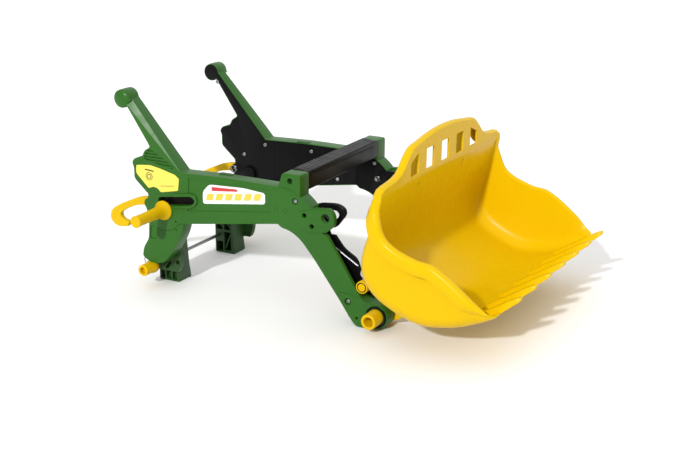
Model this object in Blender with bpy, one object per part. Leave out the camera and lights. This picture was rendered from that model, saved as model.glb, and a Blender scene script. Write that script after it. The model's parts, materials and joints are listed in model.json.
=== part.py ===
"""Toy front loader for a pedal tractor: two side frames on a pair of mounting consoles,
joined by a crossbar, with a toothed bucket on pins at the ends of the arms.

+X points forward (the way the bucket looks), +Y to the driver's left, +Z up. The loader
stands on Z = 0. All lengths in this file are millimetres and become metres in place().
Outlines are drawn in the (x, z) plane and carried sideways, between two distances from
the middle plane, which makes the right-hand piece (side -1) and the left-hand one (side +1).
"""

import math

import bmesh
import bpy
from mathutils import Vector

MM = 0.001
MIDDLE_SHIFT = 9.2      # moves the middle of the whole length over the origin
SIDES = (("right", -1), ("left", 1))

# Layers of a side frame, as distances from the middle plane
FRAME_OUTER = 150.0
FRAME_INNER = 122.0
PLATE_OUTER = 125.7
SHELL_INNER = 126.0
SHELL_WALL = 4.0
RECESS_OUTER = 138.3    # the outer end of the recess for the console's tongue
TONGUE_INNER = 126.3
TONGUE_OUTER = 137.7
GAP = 0.3

# Axes, as (x, z)
LIFT_PIVOT = (-279.0, 144.0)
BUCKET_PIVOT = (128.0, 22.8)
HOOK_PIVOT = (-310.0, 151.5)
LOOP_PIVOT = (-2.3, 173.5)
FOOT_ROD = (-317.5, 33.5)
LATCH_PIN = (101.5, 67.8)
CROSSBAR_BOLT = (-29.5, 226.6)

PEG_RADIUS = 9.0
PEG_END = 232.0
BUCKET_PIN_RADIUS = 13.0
BUCKET_PIN_END = 178.0
SOLE_OUTER = 107.0      # the foot is narrower below the step on its outer side
SOLE_STEP = 24.0
HUB_RADIUS = 36.0       # round underside of the side frame, about the lift pivot
PLATE_SEAMS = (-224.0, -52.0)
SCREWS = ((-345, 312), (-289, 181), (-243, 204), (-145, 203), (-91, 158), (-16, 197))

# Bucket
BUCKET_WALL = 3.2
FLOOR_HALF = 222.0      # half width at the floor
RIM_HALF = 230.5        # half width at the rim's crown
CORNER_RADIUS = 26.0
TOOTH_COUNT = 7
TOOTH_PITCH = 61.7
GRILLE_CENTRES = (-114.0, -57.0, 0.0, 57.0, 114.0)
GRILLE_HALF = 14.0
GRILLE_Z = (254.0, 288.0)


def clear_scene():
    for item in list(bpy.data.objects):
        bpy.data.objects.remove(item, do_unlink=True)


def material(name, colour, roughness, metallic=0.0):
    finish = bpy.data.materials.new(name)
    finish.use_nodes = True
    shader = finish.node_tree.nodes["Principled BSDF"]
    shader.inputs["Base Color"].default_value = (*colour, 1.0)
    shader.inputs["Roughness"].default_value = roughness
    shader.inputs["Metallic"].default_value = metallic
    return finish


# ---------------------------------------------------------------- outlines

def arc(centre, radius, start, end, steps):
    """Points along a circle from one angle to another, in degrees from +x towards +z."""
    points = []
    for k in range(steps + 1):
        angle = math.radians(start + (end - start) * k / steps)
        points.append((centre[0] + radius * math.cos(angle), centre[1] + radius * math.sin(angle)))
    return points


def rounded(corners, steps=2):
    """Corners (x, z, cut) as an outline: each corner is rounded from cut before it to cut after."""
    points = []
    for k, (x, z, *cut) in enumerate(corners):
        here = Vector((x, z))
        if not cut or not cut[0]:
            points.append((x, z))
            continue
        before = Vector(corners[k - 1][:2]) - here
        after = Vector(corners[(k + 1) % len(corners)][:2]) - here
        start = here + before.normalized() * min(cut[0], before.length * 0.45)
        end = here + after.normalized() * min(cut[0], after.length * 0.45)
        for step in range(steps + 1):
            t = step / steps
            points.append(tuple(start * (1 - t) ** 2 + here * 2 * t * (1 - t) + end * t * t))
    return points


def frame_outline(arm_front):
    """The side frame's outline; arm_front is the edge from the bucket pin up to the ear."""
    x, z = BUCKET_PIVOT
    corners = arc((-358, 329), 15.5, 3, 313, 12)
    corners += [(-302.9, 251.7, 4), (-314.7, 244.2, 3), (-320.5, 233.1, 2), (-336.5, 228.5, 3)]
    corners += [(-342.2, 220.8, 4), (-338.5, 212.4, 3), (-338.5, 193, 5), (-310.3, 168.2, 3)]
    corners += arc(HOOK_PIVOT, 9.8, 100, 225, 5)
    corners += arc(LIFT_PIVOT, HUB_RADIUS, 188, 325, 10)
    corners += [(-52.4, 152, 3), (-47, 147, 3), (-29.8, 143.4, 6), (-11.2, 132.6, 8), (14.7, 102.5, 6)]
    corners += [(62.4, 38.6), (82.6, 9.5, 5), (92, 0, 4), (107, 0, 5)]
    corners += arc((x, z), 20.2, 250, 440, 8)
    corners += arm_front
    corners += [(30, 148, 1), (41, 153, 4), (53, 164, 6), (53, 180, 7), (45, 190.5, 5), (8, 187, 2)]
    corners += arc((-55, 135), 81, 39, 80.6, 5)
    corners += [(-163, 216.4), (-242, 214.2, 2)]
    return rounded(corners)


SHELL_ARM_FRONT = [(104, 46, 8), (92, 61.5, 6), (64.4, 105.3), (39, 145.1, 3)]
PLATE_ARM_FRONT = [(121, 42, 4), (100, 59, 5), (86, 80, 2), (89, 88, 3), (82, 107, 6), (58, 121, 6),
                   (39, 145.1, 3)]
# Behind its outer wall the ear is open towards the finger loop, and the arm to the front
EAR_POCKET = [(8, 200), (8, 185, 3), (27, 152, 3), (32, 140), (70, 140), (70, 200)]
ARM_OPENING = [(20, 146), (56, 98, 4), (88, 52, 4), (98, 50), (125, 62), (110, 110), (60, 150), (34, 158)]
OPEN_WALL = 7.0         # what is left of the outer wall in front of either


# ---------------------------------------------------------------- solids

def prism(bm, outline, first, last):
    """A closed block: an (x, z) outline carried along Y from first to last."""
    rings = [[bm.verts.new((x, y, z)) for x, z in outline] for y in (first, last)]
    bm.faces.new(rings[0])
    bm.faces.new(reversed(rings[1]))
    for k in range(len(outline)):
        nxt = (k + 1) % len(outline)
        bm.faces.new((rings[0][k], rings[1][k], rings[1][nxt], rings[0][nxt]))


def block(bm, low, high):
    """A closed box between two (x, y, z) corners."""
    (x0, y0, z0), (x1, y1, z1) = low, high
    prism(bm, [(x0, z0), (x1, z0), (x1, z1), (x0, z1)], y0, y1)


def turned(bm, axis, profile, sides):
    """A closed body turned about the line y through axis (x, z); profile lists (y, radius)."""
    rings = []
    for y, radius in profile:
        circle = arc(axis, radius, 0, 360 - 360 / sides, sides - 1)
        rings.append([bm.verts.new((x, y, z)) for x, z in circle])
    bm.faces.new(rings[0])
    bm.faces.new(reversed(rings[-1]))
    for first, last in zip(rings, rings[1:]):
        for k in range(sides):
            nxt = (k + 1) % sides
            bm.faces.new((first[k], last[k], last[nxt], first[nxt]))


def swept(bm, path, radius, sides):
    """A closed round bar along a list of points."""
    rings = []
    for k, point in enumerate(path):
        ahead = (path[min(k + 1, len(path) - 1)] - path[max(k - 1, 0)]).normalized()
        across = ahead.cross(Vector((0, 1, 0))).normalized()
        other = ahead.cross(across)
        ring = []
        for side in range(sides):
            angle = math.tau * side / sides
            ring.append(bm.verts.new(point + (across * math.cos(angle) + other * math.sin(angle)) * radius))
        rings.append(ring)
    bm.faces.new(rings[0])
    bm.faces.new(reversed(rings[-1]))
    for first, last in zip(rings, rings[1:]):
        for k in range(sides):
            nxt = (k + 1) % sides
            bm.faces.new((first[k], last[k], last[nxt], first[nxt]))


def place(bm, name, finish=None, pivot=(0.0, 0.0, 0.0), smooth=None):
    """Turns the finished bmesh into a named object in metres, with its origin at the pivot."""
    bmesh.ops.recalc_face_normals(bm, faces=bm.faces)
    bmesh.ops.translate(bm, verts=bm.verts, vec=-Vector(pivot))
    bmesh.ops.scale(bm, verts=bm.verts, vec=(MM, MM, MM))
    mesh = bpy.data.meshes.new(name)
    bm.to_mesh(mesh)
    bm.free()
    item = bpy.data.objects.new(name, mesh)
    item.location = (Vector(pivot) + Vector((MIDDLE_SHIFT, 0, 0))) * MM
    bpy.context.collection.objects.link(item)
    if finish:
        mesh.materials.append(finish)
    if smooth:
        mesh.shade_smooth()
        mesh.set_sharp_from_angle(angle=math.radians(smooth))
    return item


def cut(item, bm, operation="DIFFERENCE"):
    """Cuts the bodies in bm out of item, or joins them to it, with an exact Boolean."""
    tool = place(bm, "tool_" + item.name)
    tool.hide_render = True
    tool.display_type = "WIRE"
    modifier = item.modifiers.new(tool.name, "BOOLEAN")
    modifier.operation = operation
    modifier.solver = "EXACT"
    modifier.object = tool


def soften(item, width):
    """Breaks the sharp edges of a moulding."""
    modifier = item.modifiers.new("soft_edges", "BEVEL")
    modifier.width = width * MM
    modifier.segments = 1
    modifier.limit_method = "ANGLE"
    modifier.angle_limit = math.radians(50)


# ---------------------------------------------------------------- consoles (fixed)

def make_console(name, s, green):
    """The mounting leg, with the tongue that carries the lift pivot."""
    top = [(-239.6, 124.2, 1)] + arc(LIFT_PIVOT, HUB_RADIUS + 0.4, 325, 216, 10)
    rear = [(-311.9, 117, 3), (-313.4, 88.9, 5), (-325, 70.8, 4), (-328, 54.5, 3), (-313.6, 46, 3)]
    front = [(-300, 45, 3), (-283.8, 48.1, 6), (-261.6, 75.1, 8), (-245.9, 102.6, 6)]
    bm = bmesh.new()
    prism(bm, rounded(top + rear + front), s * FRAME_INNER, s * FRAME_OUTER)
    console = place(bm, name, green)
    soften(console, 1.4)

    x, z = LIFT_PIVOT
    bm = bmesh.new()
    tongue = arc((x, z), 16, 0, 180, 8) + [(x - 16, z - 40), (x + 16, z - 40)]
    prism(bm, tongue, s * TONGUE_INNER, s * TONGUE_OUTER)
    cut(console, bm, "UNION")

    bm = bmesh.new()
    turned(bm, (x, z), [(s * 120, PEG_RADIUS + GAP), (s * 152, PEG_RADIUS + GAP)], 20)
    recess = [(-309, 112, 2), (-292, 112, 2), (-296, 90, 2), (-309, 90, 2)]
    prism(bm, rounded(recess), s * 145.5, s * 152)
    hollow = [(-304, 84, 3), (-273, 84, 3), (-287, 58, 3), (-312, 58, 3)]
    prism(bm, rounded(hollow), s * 120, s * 144)
    cut(console, bm)


def make_foot(name, s, green):
    """The foot block: a ribbed moulding, open towards the tractor, with the rod's bore."""
    bm = bmesh.new()
    outline = [(-325, 0, 2), (-282.5, 0, 2), (-286, 24, 3), (-290, 74, 4), (-325, 74, 4)]
    prism(bm, rounded(outline), s * 70.5, s * 121.7)
    foot = place(bm, name, green)
    bm = bmesh.new()
    toe = [(-291, 9), (-284, 14, 4), (-272, 27, 5), (-267, 44, 5), (-268, 62, 4), (-291, 70)]
    prism(bm, rounded(toe), s * 112, s * 121.7)
    cut(foot, bm, "UNION")
    bm = bmesh.new()
    cells = [(-322, -308, 45, 71), (-305, -292, 45, 71), (-322, -308, 3, 22), (-305, -290.5, 5, 41)]
    for x0, x1, z0, z1 in cells:
        prism(bm, rounded([(x0, z0, 2), (x1, z0, 2), (x1, z1, 2), (x0, z1, 2)]), s * 60, s * 98)
    turned(bm, FOOT_ROD, [(s * 60, 3.3), (s * 130, 3.3)], 12)
    cut(foot, bm)
    bm = bmesh.new()
    block(bm, (-340, s * SOLE_OUTER, -5), (-250, s * 130, SOLE_STEP))
    cut(foot, bm)


def make_fixed_parts(finishes):
    green, yellow, steel = finishes["green"], finishes["yellow"], finishes["steel"]
    x, z = LIFT_PIVOT
    for side, s in SIDES:
        make_console("console_" + side, s, green)
        make_foot("foot_block_" + side, s, green)

        bm = bmesh.new()
        profile = [(116, PEG_RADIUS), (150.4, PEG_RADIUS), (150.4, 17), (155, 17), (168, 10), (PEG_END, 9.6)]
        turned(bm, (x, z), [(s * y, r) for y, r in profile], 20)
        place(bm, "lift_peg_" + side, yellow, (x, s * FRAME_OUTER, z), smooth=40)

        bm = bmesh.new()
        ring = [(117.6, 9.4), (117.6, 14), (121.6, 14), (121.6, 9.4)]
        washer(bm, (x, z), [(s * y, r) for y, r in ring], 20)
        place(bm, "lift_washer_" + side, steel, smooth=40)

        bm = bmesh.new()
        turned(bm, (-296, 66), [(s * 122.1, 3), (s * 131, 3), (s * 131, 5), (s * 134, 5)], 8)
        place(bm, "foot_bolt_" + side, steel)

        rx, rz = FOOT_ROD
        bm = bmesh.new()
        knob = [(130, 8), (130, 9.5), (134, 11.6), (144, 11.6), (147, 10.2), (164, 10.2), (166.5, 8)]
        turned(bm, (rx, rz), [(s * y, r) for y, r in knob], 18)
        place(bm, "rod_knob_" + side, yellow, (rx, s * 148, rz), smooth=40)

    bm = bmesh.new()
    turned(bm, FOOT_ROD, [(-129.6, 3), (129.6, 3)], 10)
    place(bm, "cross_rod", steel, smooth=40)


def washer(bm, axis, ring, sides):
    """A closed ring turned about axis; ring is its section as a loop of (y, radius)."""
    loops = []
    for y, radius in ring:
        circle = arc(axis, radius, 0, 360 - 360 / sides, sides - 1)
        loops.append([bm.verts.new((x, y, z)) for x, z in circle])
    for first, last in zip(loops, loops[1:] + loops[:1]):
        for k in range(sides):
            nxt = (k + 1) % sides
            bm.faces.new((first[k], last[k], last[nxt], first[nxt]))


# ---------------------------------------------------------------- lift frame

def make_shell(name, s, green):
    """The outer moulding of a side frame: a tray that the black plates close."""
    bm = bmesh.new()
    prism(bm, frame_outline(SHELL_ARM_FRONT), s * SHELL_INNER, s * FRAME_OUTER)
    shell = place(bm, name, green)
    soften(shell, 1.4)

    bm = bmesh.new()
    inside = (s * 120, s * (FRAME_OUTER - SHELL_WALL))
    beam = [(-216, 208, 4), (-64, 209, 4), (-64, 156, 4), (-216, 134, 4)]
    arm = [(-44, 158, 3), (-24, 150, 5), (0, 130, 6), (20, 104, 4), (68, 40, 4), (86, 14, 4), (100, 12, 4),
           (96, 48, 4), (60, 104, 4), (22, 148, 3), (2, 182, 5), (-22, 200, 5), (-46, 209, 4)]
    panel = [(-250, 207, 3), (-334, 309, 3), (-338, 306, 2), (-299, 248, 3), (-314, 229, 3), (-332, 216, 4),
             (-330, 198, 4), (-304, 190, 4), (-262, 190, 4)]
    for pocket in (beam, arm, panel):
        prism(bm, rounded(pocket), *inside)
    cut(shell, bm)

    x, z = LIFT_PIVOT
    bm = bmesh.new()
    turned(bm, (x, z), [(s * 119, HUB_RADIUS + 1.6), (s * RECESS_OUTER, HUB_RADIUS + 1.6)], 32)
    cut(shell, bm)
    bm = bmesh.new()
    turned(bm, HOOK_PIVOT, [(s * 119, 13), (s * RECESS_OUTER, 13)], 16)
    turned(bm, (x, z), [(s * 130, PEG_RADIUS + GAP), (s * 152, PEG_RADIUS + GAP)], 20)
    turned(bm, BUCKET_PIVOT, [(s * 120, BUCKET_PIN_RADIUS + GAP), (s * 152, BUCKET_PIN_RADIUS + GAP)], 20)
    turned(bm, (36.4, 174), [(s * 120, 7.2), (s * 152, 7.2)], 14)
    cut(shell, bm)
    bm = bmesh.new()
    slot = [(-290, 150.5, 4), (-220, 160.2, 7), (-213, 169, 5), (-221, 175.8, 7), (-290, 165.8, 5)]
    prism(bm, rounded(slot, 3), s * 120, s * 152)
    for hole_x, hole_z, radius in ((-2.3, 173.5, 4), (11.4, 157, 4), (93.6, 14.9, 2.5)):
        turned(bm, (hole_x, hole_z), [(s * 147.5, radius), (s * 152, radius)], 10)
    cut(shell, bm)
    cut_behind_wall(shell, s, EAR_POCKET)
    cut_behind_wall(shell, s, ARM_OPENING)


def cut_behind_wall(item, s, outline):
    """Opens a side frame inside an outline and leaves its outer wall."""
    bm = bmesh.new()
    prism(bm, rounded(outline), s * 118, s * (FRAME_OUTER - OPEN_WALL))
    cut(item, bm)


def make_plate(name, s, black, arm_front, low_x, high_x):
    """One of the flat plates that close a side frame, between two vertical seams."""
    bm = bmesh.new()
    prism(bm, frame_outline(arm_front), s * FRAME_INNER, s * PLATE_OUTER)
    plate = place(bm, name, black)
    bm = bmesh.new()
    block(bm, (-400, s * 115, -20), (low_x, s * 130, 360))
    block(bm, (high_x, s * 115, -20), (180, s * 130, 360))
    for axis, radius in ((LIFT_PIVOT, PEG_RADIUS), (BUCKET_PIVOT, BUCKET_PIN_RADIUS), (LATCH_PIN, 5.0)):
        if low_x < axis[0] < high_x:
            turned(bm, axis, [(s * 118, radius + GAP), (s * 128, radius + GAP)], 20)
    if low_x < HOOK_PIVOT[0] < high_x:
        turned(bm, HOOK_PIVOT, [(s * 118.5, 2.8), (s * 127.5, 2.8)], 10)
    cut(plate, bm)
    if low_x < EAR_POCKET[0][0] < high_x:
        cut_behind_wall(plate, s, EAR_POCKET)


def make_hook(name, s, yellow):
    """The J-shaped retaining hook at the back of a side frame."""
    hx, hz = HOOK_PIVOT
    bm = bmesh.new()
    outline = [(-311, 160.5, 3), (-341, 156, 8), (-382, 138, 8), (-403, 125, 9), (-405.5, 107, 8)]
    outline += [(-392, 95.5, 8), (-367, 98, 5), (-364, 107.5, 3), (-378, 110.5, 5), (-384, 120, 5)]
    outline += [(-372, 129, 5), (-346, 141, 6), (-316, 144, 3), (-303.5, 144.5, 4), (-301, 151.5, 3)]
    outline += [(-303.5, 159, 4)]
    prism(bm, rounded(outline), s * 127, s * 137.4)
    hook = place(bm, name, yellow, (hx, s * 132, hz))
    soften(hook, 2.0)
    bm = bmesh.new()
    turned(bm, HOOK_PIVOT, [(s * 120, 2.8), (s * 145, 2.8)], 12)
    cut(hook, bm)


def make_loop(name, s, black):
    """The finger loop that releases the bucket."""
    lx, lz = LOOP_PIVOT
    bm = bmesh.new()
    outline = [(-9, 167, 5), (-9, 180, 5), (8, 187.5, 6), (40, 190.5, 8), (54, 184, 7), (56, 173, 6)]
    outline += [(38, 150, 6), (27, 148, 5), (10, 165, 5)]
    prism(bm, rounded(outline), s * 110, s * 119)
    loop = place(bm, name, black, (lx, s * 114, lz))
    soften(loop, 1.5)
    bm = bmesh.new()
    hole = [(13, 171, 4), (13, 177, 4), (40, 180, 5), (46, 172, 6), (34, 160, 4), (26, 160, 4)]
    prism(bm, rounded(hole), s * 100, s * 125)
    turned(bm, LOOP_PIVOT, [(s * 100, 2.8), (s * 125, 2.8)], 12)
    cut(loop, bm)


def make_pull_rod(name, s, steel):
    """The thin rod inside the arm's opening that the finger loop draws up and back."""
    bm = bmesh.new()
    swept(bm, [Vector((84, s * 128.6, 95.5)), Vector((39, s * 128.6, 122))], 1.5, 8)
    place(bm, name, steel, smooth=60)


def make_spring(name, s, steel):
    """The torsion spring of a finger loop, wound round its pin."""
    lx, lz = LOOP_PIVOT
    path = []
    for k in range(37):
        angle = math.tau * k / 12
        path.append(Vector((lx + 4.2 * math.cos(angle), s * (108.6 - 1.6 * k / 12), lz + 4.2 * math.sin(angle))))
    bm = bmesh.new()
    swept(bm, path, 0.6, 5)
    place(bm, name, steel, smooth=60)


def make_lift_frame(finishes):
    green, black = finishes["green"], finishes["black"]
    yellow, steel = finishes["yellow"], finishes["steel"]
    rear_seam, front_seam = PLATE_SEAMS
    for side, s in SIDES:
        make_shell("side_shell_" + side, s, green)
        make_plate("handle_plate_" + side, s, black, SHELL_ARM_FRONT, -390, rear_seam - GAP)
        make_plate("beam_plate_" + side, s, black, SHELL_ARM_FRONT, rear_seam + GAP, front_seam - GAP)
        make_plate("arm_plate_" + side, s, black, PLATE_ARM_FRONT, front_seam + GAP, 170)

        bm = bmesh.new()
        socket = [(-43.3, 239, 4), (-51, 215.3, 1)] + arc((-55, 135), 81.4, 80.6, 56.5, 4) + [(-9.9, 238.7, 4)]
        prism(bm, rounded(socket), s * 121.7, s * FRAME_OUTER)
        socket = place(bm, "crossbar_socket_" + side, green)
        soften(socket, 1.4)
        bm = bmesh.new()
        turned(bm, CROSSBAR_BOLT, [(s * 127, 4.6), (s * 152, 4.6)], 14)
        cut(socket, bm)
        bm = bmesh.new()
        turned(bm, CROSSBAR_BOLT, [(s * 127.3, 4.2), (s * 136, 4.2)], 12)
        place(bm, "crossbar_bolt_" + side, steel)

        bx, bz = BUCKET_PIVOT
        bm = bmesh.new()
        pin = [(98, 13), (BUCKET_PIN_END - 2, 13), (BUCKET_PIN_END, 12), (BUCKET_PIN_END, 8), (150, 7)]
        turned(bm, (bx, bz), [(s * y, r) for y, r in pin], 20)
        place(bm, "bucket_pin_" + side, yellow, (bx, s * FRAME_OUTER, bz), smooth=40)

        bm = bmesh.new()
        pin = [(117, 5), (139, 5), (139, 10.5), (148.5, 10.5), (150, 9)]
        turned(bm, LATCH_PIN, [(s * y, r) for y, r in pin], 18)
        place(bm, "latch_pin_" + side, yellow, smooth=40)

        bm = bmesh.new()
        turned(bm, HOOK_PIVOT, [(s * 120, 2.5), (s * 138, 2.5)], 10)
        place(bm, "hook_pin_" + side, steel, smooth=40)

        bm = bmesh.new()
        turned(bm, LOOP_PIVOT, [(s * 101, 2.5), (s * 121.7, 2.5)], 10)
        place(bm, "loop_pin_" + side, steel, smooth=40)

        for number, spot in enumerate(SCREWS, start=1):
            bm = bmesh.new()
            turned(bm, spot, [(s * 120.2, 2.4), (s * 120.8, 3.4), (s * 121.7, 3.4)], 10)
            place(bm, "plate_screw_%s_%d" % (side, number), steel, smooth=40)

        make_hook("rear_hook_" + side, s, yellow)
        make_loop("release_loop_" + side, s, black)
        make_pull_rod("pull_rod_" + side, s, steel)
        make_spring("loop_spring_" + side, s, steel)

    bm = bmesh.new()
    bar = [(-41, 208, 3), (-10.3, 208, 3), (-10.3, 239, 4), (-41, 240.5, 4)]
    prism(bm, rounded(bar), -121.4, 121.4)
    crossbar = place(bm, "crossbar", black)
    bm = bmesh.new()
    hollow = [(-36, 200, 0), (-15, 200, 0), (-15, 233, 2), (-36, 234, 2)]
    prism(bm, rounded(hollow), -112, 112)
    for _, s in SIDES:
        block(bm, (-45, s * 114, 238), (-22, s * 116, 245))
        block(bm, (-30, s * 106, 237.5), (-5, s * 108, 245))
    cut(crossbar, bm)


# ---------------------------------------------------------------- bucket

# Stations from the lip, along the floor and up the back: a point of the inside surface in
# the middle plane, then the point of the rim's crown that its side wall runs up to.
STATIONS = (
    (358, 88, 352, 93), (329, 71, 333, 107), (300, 59, 311, 124), (270, 52, 295, 136),
    (240, 49, 280, 146), (212, 54, 262, 155), (183, 66, 240, 158), (156, 83, 218, 165),
    (139, 106, 202, 172), (135, 132, 188, 182), (142, 163, 180, 195), (155, 194, 176, 211),
    (168, 226, 174, 228), (175, 246, 176.5, 240),
)
ROWS_BETWEEN = 2
FLAT_COLUMNS = 9
CORNER_COLUMNS = 4
PLATE_ROWS = 4
PLATE_X = 176.5
RIM_SECTION = ((5.0, 3.0), (11.5, 1.4), (14.4, -5.0), (15.0, -16.0))


def smooth_value(values, place_along):
    """A smooth curve through evenly spaced values, read at a fractional place."""
    k = min(int(place_along), len(values) - 2)
    t = place_along - k
    before = values[max(k - 1, 0)]
    start, end = values[k], values[k + 1]
    after = values[min(k + 2, len(values) - 1)]
    bend = (end - before) / 2, (after - start) / 2
    return (start * (2 * t ** 3 - 3 * t ** 2 + 1) + bend[0] * (t ** 3 - 2 * t ** 2 + t)
            + end * (3 * t ** 2 - 2 * t ** 3) + bend[1] * (t ** 3 - t ** 2))


def section(floor, crown):
    """Half of a cross-section, from the middle out: (distance from the middle, x, z) points."""
    rise = crown - floor
    radius = min(CORNER_RADIUS, rise.length * 0.62)
    up = rise.normalized()
    lean = math.atan2(RIM_HALF - FLOOR_HALF, max(rise.length, 40))
    turn = math.pi / 2 - lean
    points = []
    flat_end = FLOOR_HALF - radius * math.tan(turn / 2)
    for k in range(FLAT_COLUMNS + 1):
        points.append((flat_end * k / FLAT_COLUMNS, floor))
    for k in range(1, CORNER_COLUMNS + 1):
        angle = turn * k / CORNER_COLUMNS
        lifted = floor + up * radius * (1 - math.cos(angle))
        points.append((flat_end + radius * math.sin(angle), lifted))
    last_y, last = points[-1]
    points.append(((last_y + RIM_HALF) / 2, (last + crown) / 2))
    points.append((RIM_HALF, crown))
    return points


def back_top(distance):
    """Height of the back plate's top edge, at a distance from the middle."""
    knots = ((0, 310), (82, 303), (119, 298), (137, 284), (148, 273), (160, 264), (185, 259), (215, 256),
             (228, 252), (236, 244))
    for (y0, z0), (y1, z1) in zip(knots, knots[1:]):
        if distance <= y1:
            t = (distance - y0) / (y1 - y0)
            return z0 + (z1 - z0) * t * t if y0 == 0 else z0 + (z1 - z0) * t
    return knots[-1][1]


def bucket_sheet():
    """The inside surface as rows of points, each from the right rim across to the left."""
    rows = []
    steps = (len(STATIONS) - 1) * ROWS_BETWEEN
    for step in range(steps + 1):
        spot = step / ROWS_BETWEEN
        fx, fz, cx, cz = (smooth_value([station[k] for station in STATIONS], spot) for k in range(4))
        half = section(Vector((fx, fz)), Vector((cx, cz)))
        right = [Vector((point.x, -y, point.y)) for y, point in reversed(half)]
        left = [Vector((point.x, y, point.y)) for y, point in half[1:]]
        rows.append(right + left)
    crease = rows[-1]
    for step in range(1, PLATE_ROWS + 1):
        t = step / PLATE_ROWS
        rows.append([Vector((p.x + (PLATE_X - p.x) * t, p.y, p.z + (back_top(abs(p.y)) - p.z) * t))
                     for p in crease])
    return rows


def sheet_normals(rows):
    """Unit normals of the sheet, pointing into the bucket."""
    normals = []
    for i, row in enumerate(rows):
        line = []
        for j in range(len(row)):
            along = rows[min(i + 1, len(rows) - 1)][j] - rows[max(i - 1, 0)][j]
            across = row[min(j + 1, len(row) - 1)] - row[max(j - 1, 0)]
            line.append(along.cross(across).normalized() * -1)
        normals.append(line)
    return normals


def rim_path(rows):
    """Row and column of each rim point: up the right side, over the back, down the left."""
    last_row, last_column = len(rows) - 1, len(rows[0]) - 1
    path = [(i, 0) for i in range(last_row + 1)]
    path += [(last_row, j) for j in range(1, last_column)]
    path += [(i, last_column) for i in range(last_row, -1, -1)]
    return path


def make_bucket(finishes):
    rows = bucket_sheet()
    normals = sheet_normals(rows)
    bm = bmesh.new()
    inner = [[bm.verts.new(p) for p in row] for row in rows]
    outer = [[bm.verts.new(p - n * BUCKET_WALL) for p, n in zip(row, line)]
             for row, line in zip(rows, normals)]
    for i in range(len(rows) - 1):
        for j in range(len(rows[0]) - 1):
            for grid in (inner, outer):
                bm.faces.new((grid[i][j], grid[i][j + 1], grid[i + 1][j + 1], grid[i + 1][j]))
    for j in range(len(rows[0]) - 1):
        bm.faces.new((inner[0][j], inner[0][j + 1], outer[0][j + 1], outer[0][j]))

    path = rim_path(rows)
    loops = []
    for number, (i, j) in enumerate(path):
        before, after = path[max(number - 1, 0)], path[min(number + 1, len(path) - 1)]
        tangent = (rows[after[0]][after[1]] - rows[before[0]][before[1]]).normalized()
        away = -normals[i][j]
        up = away.cross(tangent).normalized()
        inside = path[number][1] + (1 if j == 0 else -1 if j == len(rows[0]) - 1 else 0)
        inward = rows[max(i - (1 if 0 < j < len(rows[0]) - 1 else 0), 0)][inside] - rows[i][j]
        if up.dot(inward) > 0:
            up = -up
        swell = min(1.0, 0.25 + number / 4, 0.25 + (len(path) - 1 - number) / 4)
        ring = [inner[i][j]]
        for out, rise in RIM_SECTION:
            ring.append(bm.verts.new(rows[i][j] + (away * out + up * rise) * swell))
        for out, rise in reversed(RIM_SECTION[:-1]):
            ring.append(bm.verts.new(rows[i][j] + (away * (out - 2.6) + up * (rise - 2.8)) * swell))
        ring.append(outer[i][j])
        loops.append(ring)
    for first, last in zip(loops, loops[1:]):
        for k in range(len(first) - 1):
            bm.faces.new((first[k], first[k + 1], last[k + 1], last[k]))
    for ring in (loops[0], loops[-1]):
        bm.faces.new(ring)
    bucket = place(bm, "bucket", finishes["yellow"], (BUCKET_PIVOT[0], 0, BUCKET_PIVOT[1]), smooth=40)

    add_bucket_details(bucket)
    return bucket


def tooth(bm, y):
    """One digging tooth: a ridge that starts on the floor and ends in a blunt tip."""
    section_points = ((316, 62, 7.0, 3.0), (348, 82, 14.0, 6.5), (362, 92, 13.0, 6.0), (386, 108, 5.0, 3.0))
    rings = []
    for x, z, half, thick in section_points:
        corners = ((-half, -thick), (half, -thick), (half * 0.7, thick * 0.5), (-half * 0.7, thick * 0.5))
        rings.append([bm.verts.new((x, y + dy, z + dz)) for dy, dz in corners])
    bm.faces.new(rings[0])
    bm.faces.new(reversed(rings[-1]))
    for first, last in zip(rings, rings[1:]):
        for k in range(4):
            nxt = (k + 1) % 4
            bm.faces.new((first[k], last[k], last[nxt], first[nxt]))


def add_bucket_details(bucket):
    """Teeth, hinge lugs and gussets are joined on; grille slots and pin bores are cut."""
    bm = bmesh.new()
    for number in range(TOOTH_COUNT):
        tooth(bm, (number - (TOOTH_COUNT - 1) / 2) * TOOTH_PITCH)
    for _, s in SIDES:
        lug = arc(BUCKET_PIVOT, 18, 120, 285, 7)
        lug += [(156, 14, 4), (196, 47, 3), (205, 56), (182, 64), (154, 83), (142, 96)]
        prism(bm, rounded(lug), s * 100, s * 121.5)
        gusset = [(172, 296), (173, 236), (152, 190), (138, 175, 3), (144, 240, 8), (150, 288, 6)]
        prism(bm, rounded(gusset), s * 81, s * 89)
    cut(bucket, bm, "UNION")
    bm = bmesh.new()
    low, high = GRILLE_Z
    for y in GRILLE_CENTRES:
        clipped = high if abs(y) < 100 else high - 12
        inner_side = high
        near, far = y - GRILLE_HALF, y + GRILLE_HALF
        heights = (clipped, inner_side) if y < 0 else (inner_side, clipped)
        corners = [(near, low), (far, low), (far, heights[1]), (near, heights[0])]
        rings = [[bm.verts.new((x, cy, cz)) for cy, cz in corners] for x in (150, 185)]
        bm.faces.new(rings[0])
        bm.faces.new(reversed(rings[1]))
        for k in range(4):
            nxt = (k + 1) % 4
            bm.faces.new((rings[0][k], rings[1][k], rings[1][nxt], rings[0][nxt]))
    for _, s in SIDES:
        bore = BUCKET_PIN_RADIUS + GAP
        turned(bm, BUCKET_PIVOT, [(s * 96, bore), (s * 125, bore)], 20)
    cut(bucket, bm)


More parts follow.
